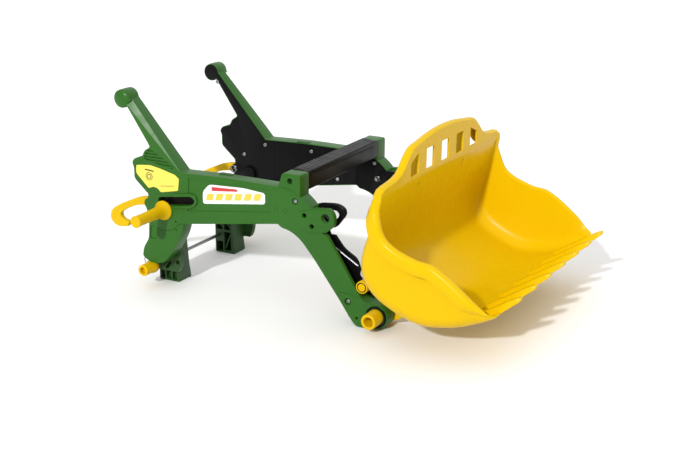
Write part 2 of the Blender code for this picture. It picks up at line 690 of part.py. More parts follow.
def main():
    clear_scene()
    finishes = {
        "green": material("green_plastic", (0.045, 0.19, 0.03), 0.3),
        "black": material("black_plastic", (0.012, 0.012, 0.013), 0.4),
        "yellow": material("yellow_plastic", (0.92, 0.58, 0.0), 0.3),
        "steel": material("zinc_steel", (0.55, 0.56, 0.58), 0.35, 1.0),
    }
    make_fixed_parts(finishes)
    make_lift_frame(finishes)
    make_bucket(finishes)


main()
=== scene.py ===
"""Looks of the toy front loader: finely rounded mouldings, a smooth blow-moulded bucket,
springs, screws, labels and procedural plastics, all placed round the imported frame.

Outlines are drawn in millimetres in the (x, z) plane, as the frame's own are, and carried
sideways between two distances from the middle plane. place() turns them into metres.
"""

import json
import math

import bmesh
import bpy
from mathutils import Matrix, Vector


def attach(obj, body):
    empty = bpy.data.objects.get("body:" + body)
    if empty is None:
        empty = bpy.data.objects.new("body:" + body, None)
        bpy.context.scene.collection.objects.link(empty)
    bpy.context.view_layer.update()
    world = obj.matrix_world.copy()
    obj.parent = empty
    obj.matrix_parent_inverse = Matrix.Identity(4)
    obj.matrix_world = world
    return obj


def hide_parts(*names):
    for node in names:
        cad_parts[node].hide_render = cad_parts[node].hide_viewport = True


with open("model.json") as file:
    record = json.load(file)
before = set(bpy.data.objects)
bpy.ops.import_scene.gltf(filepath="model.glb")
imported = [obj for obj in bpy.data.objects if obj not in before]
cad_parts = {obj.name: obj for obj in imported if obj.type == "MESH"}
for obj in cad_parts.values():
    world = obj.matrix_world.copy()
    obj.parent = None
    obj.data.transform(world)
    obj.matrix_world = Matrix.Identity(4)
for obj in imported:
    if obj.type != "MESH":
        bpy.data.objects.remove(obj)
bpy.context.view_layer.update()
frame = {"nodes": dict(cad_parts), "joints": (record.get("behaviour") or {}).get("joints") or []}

MM = 0.001
SIDES = (("right", -1), ("left", 1))
AXIS = {joint["name"]: Vector(joint.get("pos_m", (0, 0, 0))) / MM for joint in frame["joints"]}

# The lift pivot's place in the drawings, and the shift from there to the frame
LIFT_PIVOT = (-279.0, 144.0)
SHIFT = AXIS["lift"].x - LIFT_PIVOT[0]


def drawn(joint):
    """A joint's axis as (x, z) in the drawings."""
    return AXIS[joint].x - SHIFT, AXIS[joint].z


BUCKET_PIVOT = drawn("bucket_tilt")
HOOK_PIVOT = drawn("hook_left")
LOOP_PIVOT = drawn("release_left")
FOOT_ROD = drawn("knob_left")
LATCH_PIN = (101.5, 67.8)
CROSSBAR_BOLT = (-29.5, 226.6)
EAR_HOLE = (36.4, 174.0)

# Layers of a side frame, as distances from the middle plane
FRAME_OUTER = 150.0
FRAME_INNER = 122.0
PLATE_OUTER = 125.7
SHELL_INNER = 126.0
SHELL_WALL = 4.0
SOLE_OUTER = 107.0      # the foot is narrower below the step on its outer side
SOLE_STEP = 24.0
RECESS_OUTER = 138.3
HUB_RADIUS = 36.0
PEG_RADIUS = 9.0
PEG_END = 232.0
BUCKET_PIN_RADIUS = 13.0
BUCKET_PIN_END = 178.0
GAP = 0.3
CLEAR_INSIDE = 117.0    # short of the inner face, where a cut from the inside starts
LABEL_FLOOR = 148.7     # floors of the two shallow fields sunk in the outer wall
LOUVRE_FLOOR = 147.2
PLATE_SEAMS = (-224.0, -52.0)
SCREWS = ((-345, 312), (-289, 181), (-243, 204), (-145, 203), (-91, 158), (-16, 197))
OUTER_SCREWS = ((-19.7, 194.6), (77, 40.3))
EAR_DIMPLES = ((-2.3, 173.5), (11.4, 157))
FOOT_DIMPLE = (93.6, 14.9)
HANDLE_KNOB = (-358, 329)
BEAM_ARC = (-55, 135)   # centre of the beam's bend over the crossbar

EDGE = 1.8              # radius of a moulding's outer edges
SHARP_ANGLE = math.radians(32)


# ---------------------------------------------------------------- outlines

def arc(centre, radius, start, end, steps):
    """Points along a circle from one angle to another, in degrees from +x towards +z."""
    points = []
    for k in range(steps + 1):
        angle = math.radians(start + (end - start) * k / steps)
        points.append((centre[0] + radius * math.cos(angle), centre[1] + radius * math.sin(angle)))
    return points


def rounded(corners, steps=6):
    """Corners (x, z, cut) as an outline: each corner is rounded from cut before it to cut after."""
    points = []
    for k, (x, z, *cut) in enumerate(corners):
        here = Vector((x, z))
        if not cut or not cut[0]:
            points.append((x, z))
            continue
        before = Vector(corners[k - 1][:2]) - here
        after = Vector(corners[(k + 1) % len(corners)][:2]) - here
        start = here + before.normalized() * min(cut[0], before.length * 0.45)
        end = here + after.normalized() * min(cut[0], after.length * 0.45)
        for step in range(steps + 1):
            t = step / steps
            points.append(tuple(start * (1 - t) ** 2 + here * 2 * t * (1 - t) + end * t * t))
    return points


def inset(corners, distance):
    """Corners of an outline that runs anticlockwise, moved inwards by a distance."""
    moved = []
    for k, (x, z, *cut) in enumerate(corners):
        here = Vector((x, z))
        before = (here - Vector(corners[k - 1][:2])).normalized()
        after = (Vector(corners[(k + 1) % len(corners)][:2]) - here).normalized()
        inwards = (before + after).normalized()
        inwards = Vector((-inwards.y, inwards.x))
        reach = distance / max(inwards.dot(Vector((-before.y, before.x))), 0.5)
        moved.append((*(here + inwards * reach), *cut))
    return moved


def frame_outline(arm_front, inwards=0.0):
    """The side frame's outline; arm_front is the edge from the bucket pin up to the ear."""
    corners = arc(HANDLE_KNOB, 15.5, 3, 313, 36)
    corners += [(-302.9, 251.7, 4), (-314.7, 244.2, 3), (-320.5, 233.1, 2), (-336.5, 228.5, 4)]
    corners += [(-342.2, 220.8, 4), (-338.5, 212.4, 3), (-338.5, 193, 5), (-310.3, 168.2, 3)]
    corners += arc(HOOK_PIVOT, 9.8, 100, 225, 14)
    corners += arc(LIFT_PIVOT, HUB_RADIUS, 188, 325, 34)
    corners += [(-52.4, 152, 3), (-47, 147, 3), (-29.8, 143.4, 9), (-11.2, 132.6, 14), (14.7, 102.5, 14)]
    corners += [(62.4, 38.6), (82.6, 9.5, 8), (92, 0, 5), (107, 0, 6)]
    corners += arc(BUCKET_PIVOT, 20.2, 250, 440, 28)
    corners += arm_front
    corners += [(30, 148, 1), (41, 153, 4), (53, 164, 7), (53, 180, 8), (45, 190.5, 6), (8, 187, 2)]
    corners += arc(BEAM_ARC, 81, 39, 80.6, 16)
    corners += [(-163, 216.4), (-242, 214.2, 2)]
    return rounded(inset(corners, inwards))


SHELL_ARM_FRONT = [(104, 46, 8), (92, 61.5, 6), (64.4, 105.3), (39, 145.1, 3)]
PLATE_ARM_FRONT = [(121, 42, 6), (100, 59, 7), (86, 80, 3), (89, 88, 4), (82, 107, 8), (58, 121, 8),
                   (39, 145.1, 3)]
EAR_POCKET = [(8, 200), (8, 185, 3), (27, 152, 3), (32, 140), (70, 140), (70, 200)]
ARM_OPENING = [(20, 146), (56, 98, 4), (88, 52, 4), (98, 50), (125, 62), (110, 110), (60, 150), (34, 158)]
OPEN_WALL = 7.0         # what is left of the outer wall in front of either
LIP = 1.1               # width of the shell's edge round the black plates
SLOT = [(-290, 150.5, 4), (-220, 160.2, 7), (-213, 169, 5), (-221, 175.8, 7), (-290, 165.8, 5)]


# ---------------------------------------------------------------- solids

def skin(bm, rings, capped=True, closed=False):
    """Faces from each ring of points to the next; a closed skin ends where it starts."""
    if capped:
        bm.faces.new(rings[0])
        bm.faces.new(reversed(rings[-1]))
    count = len(rings[0])
    for first, last in zip(rings, rings[1:] + rings[:1] if closed else rings[1:]):
        for k in range(count):
            nxt = (k + 1) % count
            bm.faces.new((first[k], last[k], last[nxt], first[nxt]))


def prism(bm, outline, first, last):
    """A closed block: an (x, z) outline carried along Y from first to last."""
    skin(bm, [[bm.verts.new((x, y, z)) for x, z in outline] for y in (first, last)])


def slab(bm, s, corners, first, last, steps=6):
    """A prism with rounded corners between two distances on side s of the middle plane."""
    prism(bm, rounded(corners, steps), s * first, s * last)


def block(bm, low, high):
    """A closed box between two (x, y, z) corners."""
    (x0, y0, z0), (x1, y1, z1) = low, high
    prism(bm, [(x0, z0), (x1, z0), (x1, z1), (x0, z1)], y0, y1)


def turned(bm, s, axis, profile, sides=48, closed=False):
    """A body turned about the line y through axis (x, z), on side s; profile lists (y, radius).
    A closed profile makes a ring, an open one is capped at both ends."""
    rings = []
    for y, radius in profile:
        circle = arc(axis, radius, 0, 360 - 360 / sides, sides - 1)
        rings.append([bm.verts.new((x, s * y, z)) for x, z in circle])
    skin(bm, rings, not closed, closed)


def drill(bm, s, axis, radius, first, last, sides=48):
    """A straight round body along Y, to cut a hole with."""
    turned(bm, s, axis, [(first, radius), (last, radius)], sides)


def place(bm, name, finish=None):
    """Turns a finished bmesh, drawn in millimetres, into an object in the frame's metres."""
    bmesh.ops.recalc_face_normals(bm, faces=bm.faces)
    bmesh.ops.translate(bm, verts=bm.verts, vec=(SHIFT, 0, 0))
    bmesh.ops.scale(bm, verts=bm.verts, vec=(MM, MM, MM))
    mesh = bpy.data.meshes.new(name)
    bm.to_mesh(mesh)
    bm.free()
    piece = bpy.data.objects.new(name, mesh)
    bpy.context.collection.objects.link(piece)
    if finish:
        mesh.materials.append(finish)
    return piece


def bake(piece):
    """Applies a piece's modifiers, so that it is a plain mesh in its place."""
    bpy.context.view_layer.update()
    graph = bpy.context.evaluated_depsgraph_get()
    mesh = bpy.data.meshes.new_from_object(piece.evaluated_get(graph), depsgraph=graph)
    piece.modifiers.clear()
    piece.data = mesh
    mesh.name = piece.name
    return piece


def smooth(piece, angle=SHARP_ANGLE):
    piece.data.shade_smooth()
    piece.data.set_sharp_from_angle(angle=angle)
    return piece


def settle(piece, body, slot, *nodes):
    """Shades a finished piece, hangs it on its body and hides the frame's nodes it stands for."""
    smooth(piece)
    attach(piece, body)
    if nodes:
        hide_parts(*nodes)


def soften(piece, width, segments=3):
    """Rounds the sharp edges of a moulding."""
    modifier = piece.modifiers.new("soft_edges", "BEVEL")
    modifier.width = width * MM
    modifier.segments = segments
    modifier.limit_method = "ANGLE"
    modifier.angle_limit = math.radians(40)
    return bake(piece)


def carve(piece, bm, operation="DIFFERENCE"):
    """Cuts the bodies in bm out of a piece, or joins or clips it with them, and applies it."""
    tool = place(bm, "tool")
    modifier = piece.modifiers.new("carve", "BOOLEAN")
    modifier.operation = operation
    modifier.solver = "EXACT"
    modifier.object = tool
    bake(piece)
    bpy.data.objects.remove(tool, do_unlink=True)
    return piece


def moulding(name, finish, outline, inner, outer, edge=EDGE):
    """A flat moulding with rounded edges: an outline between two distances, both signed."""
    bm = bmesh.new()
    prism(bm, outline, inner, outer)
    piece = place(bm, name, finish)
    return soften(piece, edge) if edge else piece


# ---------------------------------------------------------------- repeats, as node trees

class Repeat:
    """A geometry tree with the named inputs; it ends in Realize Instances and Set Material."""

    def __init__(self, name, **inputs):
        self.tree = bpy.data.node_groups.new(name, "GeometryNodeTree")
        for label, kind in (("Geometry", "Geometry"), *inputs.items(), ("Finish", "Material")):
            self.tree.interface.new_socket(label, in_out="INPUT", socket_type="NodeSocket" + kind)
        self.tree.interface.new_socket("Geometry", in_out="OUTPUT", socket_type="NodeSocketGeometry")
        self.source = self.tree.nodes.new("NodeGroupInput").outputs

    def node(self, kind, links, values=(), **settings):
        """Adds a node with its settings, fixed inputs and links, and gives its outputs."""
        item = self.tree.nodes.new(kind)
        for name, setting in settings.items():
            setattr(item, name, setting)
        for socket, value in dict(values).items():
            item.inputs[socket].default_value = value
        for socket, output in links.items():
            self.tree.links.new(output, item.inputs[socket])
        return item.outputs

    def end(self, geometry):
        whole = self.node("GeometryNodeRealizeInstances", {"Geometry": geometry})["Geometry"]
        painted = self.node("GeometryNodeSetMaterial", {"Geometry": whole, "Material": self.source["Finish"]})
        self.node("NodeGroupOutput", {"Geometry": painted["Geometry"]})
        return self.tree


def line_tree():
    """Repeats the piece along a line: count copies, each one offset further on."""
    tree = Repeat("repeat_on_line", Count="Int", Offset="Vector")
    given = tree.source
    points = tree.node("GeometryNodeMeshLine", {"Count": given["Count"], "Offset": given["Offset"]},
                       mode="OFFSET")["Mesh"]
    copies = tree.node("GeometryNodeInstanceOnPoints", {"Points": points, "Instance": given["Geometry"]})
    return tree.end(copies["Instances"])


def ring_tree():
    """Repeats the piece round a line along Y through a centre."""
    tree = Repeat("repeat_round_axis", Count="Int", Centre="Vector")
    given = tree.source
    minus = tree.node("ShaderNodeVectorMath", {0: given["Centre"]}, {"Scale": -1}, operation="SCALE")
    centred = tree.node("GeometryNodeTransform", {
        "Geometry": given["Geometry"], "Translation": minus["Vector"]})
    line = tree.node("GeometryNodeMeshLine", {"Count": given["Count"]}, {"Offset": (0, 0, 0)}, mode="OFFSET")
    index = tree.node("GeometryNodeInputIndex", {})["Index"]
    step = tree.node("ShaderNodeMath", {1: given["Count"]}, {0: math.tau}, operation="DIVIDE")["Value"]
    angle = tree.node("ShaderNodeMath", {0: index, 1: step}, operation="MULTIPLY")["Value"]
    turn = tree.node("ShaderNodeCombineXYZ", {"Y": angle})["Vector"]
    copies = tree.node("GeometryNodeInstanceOnPoints", {
        "Points": line["Mesh"], "Instance": centred["Geometry"], "Rotation": turn})
    back = tree.node("GeometryNodeTransform", {
        "Geometry": copies["Instances"], "Translation": given["Centre"]})
    return tree.end(back["Geometry"])


def scatter_tree():
    """Puts the chosen piece on every point, each turned by its own amount about Y."""
    tree = Repeat("fasten_at_points", Piece="Object", Seed="Int")
    given = tree.source
    chosen = tree.node("GeometryNodeObjectInfo", {"Object": given["Piece"]})
    turn = tree.tree.nodes.new("FunctionNodeRandomValue")
    turn.data_type = "FLOAT_VECTOR"
    low, high = [socket for socket in turn.inputs if socket.type == "VECTOR"]
    low.default_value = (0, 0, 0)
    high.default_value = (0, math.tau, 0)
    tree.tree.links.new(given["Seed"], turn.inputs["Seed"])
    copies = tree.node("GeometryNodeInstanceOnPoints", {
        "Points": given["Geometry"], "Instance": chosen["Geometry"],
        "Rotation": [out for out in turn.outputs if out.type == "VECTOR"][0]})
    return tree.end(copies["Instances"])


def coil_tree():
    """A closed coil of round wire along Y, from its centre outwards."""
    tree = Repeat("wind_coil", Turns="Float", Radius="Float", Length="Float", Wire="Float", Centre="Vector")
    given = tree.source
    coil = tree.node("GeometryNodeCurveSpiral", {
        "Rotations": given["Turns"], "Start Radius": given["Radius"], "End Radius": given["Radius"],
        "Height": given["Length"]}, {"Resolution": 28})
    section = tree.node("GeometryNodeCurvePrimitiveCircle", {"Radius": given["Wire"]}, {"Resolution": 10})
    wire = tree.node("GeometryNodeCurveToMesh", {"Curve": coil["Curve"], "Profile Curve": section["Curve"]},
                     {"Fill Caps": True})
    seat = tree.node("GeometryNodeTransform", {"Geometry": wire["Mesh"], "Translation": given["Centre"]},
                     {"Rotation": (math.pi / 2, 0, 0)})
    return tree.end(seat["Geometry"])


def grow(piece, tree, **values):
    """Runs a node tree on a piece with its named inputs, and applies the result."""
    modifier = piece.modifiers.new(tree.name, "NODES")
    modifier.node_group = tree
    for item in tree.interface.items_tree:
        if item.item_type == "SOCKET" and item.in_out == "INPUT" and item.name in values:
            modifier[item.identifier] = values[item.name]
    return bake(piece)


def in_frame(x, y, z):
    """A drawn point as metres in the frame."""
    return ((x + SHIFT) * MM, y * MM, z * MM)


# ---------------------------------------------------------------- finishes

class Finish:
    """A procedural material, built from short steps on Object coordinates."""

    def __init__(self, name, roughness, metallic=0.0):
        self.material = bpy.data.materials.new(name)
        self.material.use_nodes = True
        self.nodes = self.material.node_tree.nodes
        self.link = self.material.node_tree.links.new
        self.shader = self.nodes["Principled BSDF"]
        self.shader.inputs["Roughness"].default_value = roughness
        self.shader.inputs["Metallic"].default_value = metallic
        self.place = self.nodes.new("ShaderNodeTexCoord").outputs["Object"]

    def stretch(self, scale):
        mapping = self.nodes.new("ShaderNodeMapping")
        mapping.inputs["Scale"].default_value = scale
        self.link(self.place, mapping.inputs["Vector"])
        return mapping.outputs["Vector"]

    def noise(self, scale, detail=2.0, place=None, distortion=0.0):
        noise = self.nodes.new("ShaderNodeTexNoise")
        noise.inputs["Scale"].default_value = scale
        noise.inputs["Detail"].default_value = detail
        noise.inputs["Distortion"].default_value = distortion
        self.link(place or self.place, noise.inputs["Vector"])
        return noise.outputs["Fac"]

    def ranged(self, value, low, high, to_low, to_high):
        span = self.nodes.new("ShaderNodeMapRange")
        for socket, number in zip(("From Min", "From Max", "To Min", "To Max"), (low, high, to_low, to_high)):
            span.inputs[socket].default_value = number
        self.link(value, span.inputs["Value"])
        return span.outputs["Result"]

    def mix(self, share, first, second):
        """A colour between two, each a colour or a socket."""
        mix = self.nodes.new("ShaderNodeMix")
        mix.data_type = "RGBA"
        self.link(share, mix.inputs["Factor"])
        for socket, colour in ((mix.inputs[6], first), (mix.inputs[7], second)):
            if isinstance(colour, tuple):
                socket.default_value = (*colour, 1.0)
            else:
                self.link(colour, socket)
        return mix.outputs[2]

    def bump(self, height, strength, distance, under=None):
        bump = self.nodes.new("ShaderNodeBump")
        bump.inputs["Strength"].default_value = strength
        bump.inputs["Distance"].default_value = distance * MM
        self.link(height, bump.inputs["Height"])
        if under:
            self.link(under, bump.inputs["Normal"])
        return bump.outputs["Normal"]

    def colour(self, socket):
        self.link(socket, self.shader.inputs["Base Color"])

    def roughness(self, socket):
        self.link(socket, self.shader.inputs["Roughness"])

    def normal(self, socket):
        self.link(socket, self.shader.inputs["Normal"])


def moulded_plastic(name, colour, deep, scuffed, roughness, grain, gloss=0.35):
    """Injection-moulded plastic: cloudy colour, a fine eroded grain, flow waves and faint scuffs."""
    finish = Finish(name, roughness)
    finish.shader.inputs["Specular IOR Level"].default_value = gloss
    cloud = finish.ranged(finish.noise(7.0, 3.0), 0.35, 0.68, 0.0, 1.0)
    body = finish.mix(cloud, colour, deep)
    scratches = finish.noise(60.0, 2.0, finish.stretch((1.0, 6.0, 14.0)), 0.6)
    worn = finish.ranged(scratches, 0.66, 0.78, 0.0, 0.14)
    finish.colour(finish.mix(worn, body, scuffed))
    patches = finish.noise(38.0, 3.0)
    finish.roughness(finish.ranged(patches, 0.3, 0.7, roughness - 0.05, roughness + 0.07))
    waves = finish.bump(finish.noise(24.0, 1.0), 0.25, 0.25)
    finish.normal(finish.bump(finish.noise(1500.0, 2.0), grain, 0.04, waves))
    return finish.material


def blown_plastic(name, colour, deep, scuffed):
    """The bucket's glossy polyethylene: waxy waves, a slightly deeper colour in soft random clouds,
    and fine scratches running forwards over the floor."""
    finish = Finish(name, 0.26)
    finish.shader.inputs["Specular IOR Level"].default_value = 0.1
    cloud = finish.ranged(finish.noise(4.0, 2.0), 0.35, 0.7, 0.0, 1.0)
    body = finish.mix(cloud, colour, deep)
    scratches = finish.noise(45.0, 3.0, finish.stretch((1.2, 11.0, 5.0)), 0.4)
    worn = finish.ranged(scratches, 0.62, 0.85, 0.0, 0.015)
    finish.colour(finish.mix(worn, body, scuffed))
    finish.roughness(finish.ranged(finish.noise(18.0, 4.0), 0.3, 0.7, 0.22, 0.32))
    waves = finish.bump(finish.noise(9.0, 1.0), 0.22, 0.5)
    finish.normal(finish.bump(finish.noise(900.0, 1.0), 0.03, 0.03, waves))
    return finish.material


def plated_steel(name, colour, deep):
    """Zinc-plated steel: spangled brightness with fine drawing lines."""
    finish = Finish(name, 0.32, 1.0)
    spangle = finish.nodes.new("ShaderNodeTexVoronoi")
    spangle.inputs["Scale"].default_value = 900.0
    finish.link(finish.place, spangle.inputs["Vector"])
    finish.colour(finish.mix(finish.ranged(spangle.outputs["Distance"], 0.0, 0.6, 0.0, 1.0), colour, deep))
    lines = finish.noise(400.0, 2.0, finish.stretch((1.0, 0.05, 1.0)))
    finish.roughness(finish.ranged(lines, 0.3, 0.7, 0.24, 0.42))
    finish.normal(finish.bump(lines, 0.2, 0.05))
    return finish.material


def printed_film(name, colour, deep, roughness=0.3):
    """A printed label: slight ink mottling under a clear film with tiny dimples."""
    finish = Finish(name, roughness)
    finish.colour(finish.mix(finish.ranged(finish.noise(160.0, 3.0), 0.3, 0.7, 0.0, 1.0), colour, deep))
    finish.roughness(finish.ranged(finish.noise(40.0), 0.3, 0.7, roughness - 0.05, roughness + 0.08))
    finish.normal(finish.bump(finish.noise(500.0, 1.0), 0.08, 0.03))
    return finish.material


def make_finishes():
    return {
        "green": moulded_plastic("green_moulding", (0.025, 0.117, 0.011), (0.021, 0.102, 0.009),
                                 (0.04, 0.16, 0.02), 0.34, 0.10, 0.22),
        "deep_green": moulded_plastic("deep_green_moulding", (0.019, 0.072, 0.012), (0.013, 0.052, 0.008),
                                      (0.03, 0.10, 0.02), 0.42, 0.12),
        "black": moulded_plastic("black_moulding", (0.0042, 0.0042, 0.0044), (0.003, 0.003, 0.0032),
                                 (0.010, 0.010, 0.011), 0.34, 0.16, 0.12),
        "yellow": moulded_plastic("yellow_fitting", (0.66, 0.42, 0.001), (0.63, 0.385, 0.001),
                                  (0.72, 0.50, 0.008), 0.3, 0.06, 0.14),
        "bucket": blown_plastic("yellow_bucket", (0.68, 0.437, 0.0008), (0.67, 0.425, 0.0008),
                                (0.70, 0.46, 0.002)),
        "steel": plated_steel("zinc_plate", (0.50, 0.51, 0.53), (0.28, 0.29, 0.31)),
        "label": printed_film("yellow_label", (0.83, 0.70, 0.10), (0.79, 0.65, 0.08)),
        "white": printed_film("white_label", (0.80, 0.80, 0.78), (0.74, 0.74, 0.73)),
        "red": printed_film("red_ink", (0.58, 0.03, 0.035), (0.50, 0.022, 0.03)),
        "amber": printed_film("amber_ink", (0.82, 0.55, 0.06), (0.78, 0.49, 0.05)),
        "ink": printed_film("black_ink", (0.014, 0.014, 0.014), (0.02, 0.02, 0.02)),
    }


# ---------------------------------------------------------------- side frames

LABEL_FIELD = [(-231, 149, 2), (-66, 169.5, 2), (-66, 207, 3), (-226, 207.5, 3)]
LOUVRE_FIELD = [(-317, 230, 2), (-304, 226.5, 2), (-280, 222.5, 2), (-258, 218.5, 2), (-254, 222, 2),
                (-302, 248.5, 2), (-312, 243, 2)]
STICKER = [(-333, 217, 3), (-304.5, 220, 3), (-284, 216.5, 4), (-253.5, 209, 2), (-245.6, 203, 3),
           (-248.6, 182, 2), (-284, 175, 2), (-290, 181, 3), (-299, 183, 3), (-309, 179, 2), (-334, 203, 4)]
SLOT_RIM = [(-258, 150.5, 2), (-219, 154.6, 9), (-207.5, 168.5, 7), (-217, 181.5, 9), (-258, 176.2, 2)]
EAR_PAD = [(-14, 147, 3), (8, 145.5, 2), (39, 150.4, 4), (52.4, 164.3, 7), (52.6, 179.5, 8), (44, 188.6, 6),
           (8, 184.6, 3), (-14, 178.5, 4)]
ARM_FOOT = [(61, 54, 2), (80, 53.5, 1), (98, 50.5, 3), (106, 45.6, 4), (121, 42.4, 3), (139, 39.5, 6),
            (147, 24, 8), (139, 6, 8), (126, 1.8, 6), (104, 1.6, 6), (93, 2, 4), (84, 11, 5)]


def louvres(name, s, finish, tree):
    """The horizontal fins between the handle and the sticker panel."""
    bm = bmesh.new()
    block(bm, (-322, s * 146.8, 219.5), (-248, s * 149.6, 222.5))
    fins = place(bm, name, finish)
    soften(fins, 0.7, 2)
    grow(fins, tree, Count=6, Offset=(0, 0, 5.4 * MM), Finish=finish)
    bm = bmesh.new()
    slab(bm, s, LOUVRE_FIELD, 140, 152)
    return carve(fins, bm, "INTERSECT")


def open_behind_wall(piece, s, outline):
    """Opens a side frame inside an outline and leaves its outer wall."""
    bm = bmesh.new()
    slab(bm, s, outline, CLEAR_INSIDE, FRAME_OUTER - OPEN_WALL)
    carve(piece, bm)


def handle_facet(shell, s):
    """Slopes the handle's front edge; the facet is widest at the knob and runs out at the beam."""
    top, foot = Vector((-342.5, 329.8)), Vector((-244, 216.5))
    along = (top - foot).normalized()
    outwards = Vector((along.y, -along.x))
    bm = bmesh.new()
    rings = []
    for point, width in ((top - along * 3, 10.0), (foot, 0.4)):
        ring = []
        corner = FRAME_OUTER - 0.85 * width
        for across, y in ((-width, FRAME_OUTER), (1.5, corner), (1.5, 154), (-width, 154)):
            spot = point + outwards * across
            ring.append(bm.verts.new((spot.x, s * y, spot.y)))
        rings.append(ring)
    skin(bm, rings)
    carve(shell, bm)


def side_shell(side, s, finishes):
    """The outer moulding of a side frame with its pockets, bores, slot and sunk fields."""
    shell = moulding("moulding_" + side, finishes["green"], frame_outline(SHELL_ARM_FRONT),
                     s * FRAME_INNER, s * FRAME_OUTER)
    bm = bmesh.new()
    prism(bm, frame_outline(PLATE_ARM_FRONT, LIP), s * 118, s * SHELL_INNER)
    carve(shell, bm)
    handle_facet(shell, s)
    open_behind_wall(shell, s, EAR_POCKET)
    bm = bmesh.new()
    beam = [(-216, 208, 4), (-64, 209, 4), (-64, 156, 4), (-216, 134, 4)]
    arm = [(-44, 158, 3), (-24, 150, 5), (0, 130, 6), (20, 104, 4), (68, 40, 4), (86, 14, 4), (100, 12, 4),
           (96, 48, 4), (60, 104, 4), (22, 148, 3), (2, 182, 5), (-22, 200, 5), (-46, 209, 4)]
    panel = [(-250, 207, 3), (-334, 309, 3), (-338, 306, 2), (-299, 248, 3), (-314, 229, 3), (-332, 216, 4),
             (-330, 198, 4), (-304, 190, 4), (-262, 190, 4)]
    for pocket in (beam, arm, panel):
        slab(bm, s, pocket, 120, FRAME_OUTER - SHELL_WALL)
    for field, floor in ((LABEL_FIELD, LABEL_FLOOR), (LOUVRE_FIELD, LOUVRE_FLOOR)):
        slab(bm, s, field, floor, 153)
    carve(shell, bm)

    open_behind_wall(shell, s, ARM_OPENING)
    bm = bmesh.new()
    drill(bm, s, LIFT_PIVOT, HUB_RADIUS + 1.6, 119, RECESS_OUTER, 96)
    carve(shell, bm)
    bm = bmesh.new()
    drill(bm, s, HOOK_PIVOT, 13, 119, RECESS_OUTER)
    drill(bm, s, LIFT_PIVOT, PEG_RADIUS + GAP, 130, 152)
    drill(bm, s, BUCKET_PIVOT, BUCKET_PIN_RADIUS + GAP, 120, 152)
    turned(bm, s, EAR_HOLE, [(120, 7.2), (148.6, 7.2), (150.2, 8.2), (153, 8.2)])
    carve(shell, bm)
    bm = bmesh.new()
    slab(bm, s, SLOT, 120, 155, 8)
    for spot, radius in zip((*EAR_DIMPLES, FOOT_DIMPLE, (-255.5, 126.7)), (4, 4, 2.5, 1.6)):
        turned(bm, s, spot, [(145, radius * 0.9), (149.4, radius), (153, radius)], 28)
    for spot in OUTER_SCREWS:
        turned(bm, s, spot, [(147, 5.2), (149.5, 5.6), (153, 6.6)], 32)
    return carve(shell, bm)


def shell_trim(side, s, finishes, trees):
    """Raised rims, pads and ribs on a side frame's outer face."""
    green = finishes["green"]
    proud = FRAME_OUTER + 1.4
    rim = moulding("slot_rim_" + side, green, rounded(SLOT_RIM), s * 148, s * (FRAME_OUTER + 2), 0.9)
    bm = bmesh.new()
    slab(bm, s, SLOT, 140, 156, 8)
    carve(rim, bm)
    pieces = [rim, louvres("louvres_" + side, s, green, trees["line"])]

    pad = moulding("ear_pad_" + side, green, rounded(EAR_PAD), s * 148, s * proud, 0.9)
    bm = bmesh.new()
    turned(bm, s, EAR_HOLE, [(140, 7.2), (150.4, 7.2), (151.3, 8), (155, 8)])
    for spot in EAR_DIMPLES:
        turned(bm, s, spot, [(140, 4), (155, 4.3)], 28)
    carve(pad, bm)
    pieces.append(pad)

    foot = moulding("arm_foot_" + side, green, rounded(ARM_FOOT), s * 148, s * proud, 0.9)
    bm = bmesh.new()
    drill(bm, s, BUCKET_PIVOT, BUCKET_PIN_RADIUS + GAP, 140, 155)
    turned(bm, s, OUTER_SCREWS[1], [(140, 5.6), (155, 6.4)], 32)
    turned(bm, s, FOOT_DIMPLE, [(140, 2.5), (155, 2.7)], 20)
    carve(foot, bm)
    pieces.append(foot)

    bm = bmesh.new()
    ring = [(148, 14.6), (152.2, 14.6), (152.9, 15.2), (152.9, 17.4), (152.2, 18.2), (148, 18.4)]
    turned(bm, s, BUCKET_PIVOT, ring, 56, closed=True)
    pieces.append(place(bm, "pin_collar_" + side, finishes["black"]))

    bm = bmesh.new()
    for x in (-56.3, -38.7):
        ring = [(148.8, 3.2), (150.5, 3.4), (150.5, 4.4), (148.8, 4.6)]
        turned(bm, s, (x, 176.4), ring, 32, closed=True)
    pieces.append(place(bm, "moulded_rings_" + side, green))

    bm = bmesh.new()
    knob = [(126.2, 15.7), (128, 15.9), (146, 15.9), (148.4, 15.3), (150.5, 13.4), (152, 10.4), (152.9, 6.8),
            (153.3, 2.5)]
    turned(bm, s, HANDLE_KNOB, knob, 64)
    pieces.append(place(bm, "handle_knob_" + side, green))

    bm = bmesh.new()
    slab(bm, s, inset(SLOT, 0.2), 139, 140.5, 8)
    liner = place(bm, "slot_liner_" + side, finishes["black"])
    bm = bmesh.new()
    drill(bm, s, LIFT_PIVOT, PEG_RADIUS + GAP, 136, 145)
    pieces.append(carve(liner, bm))

    bm = bmesh.new()
    block(bm, (-177, s * 123, 212), (-152, s * 133, 218))
    bump = place(bm, "beam_stop_" + side, finishes["deep_green"])
    pieces.append(soften(bump, 1.6))
    for piece in pieces:
        smooth(piece)
        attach(piece, "lift_frame")


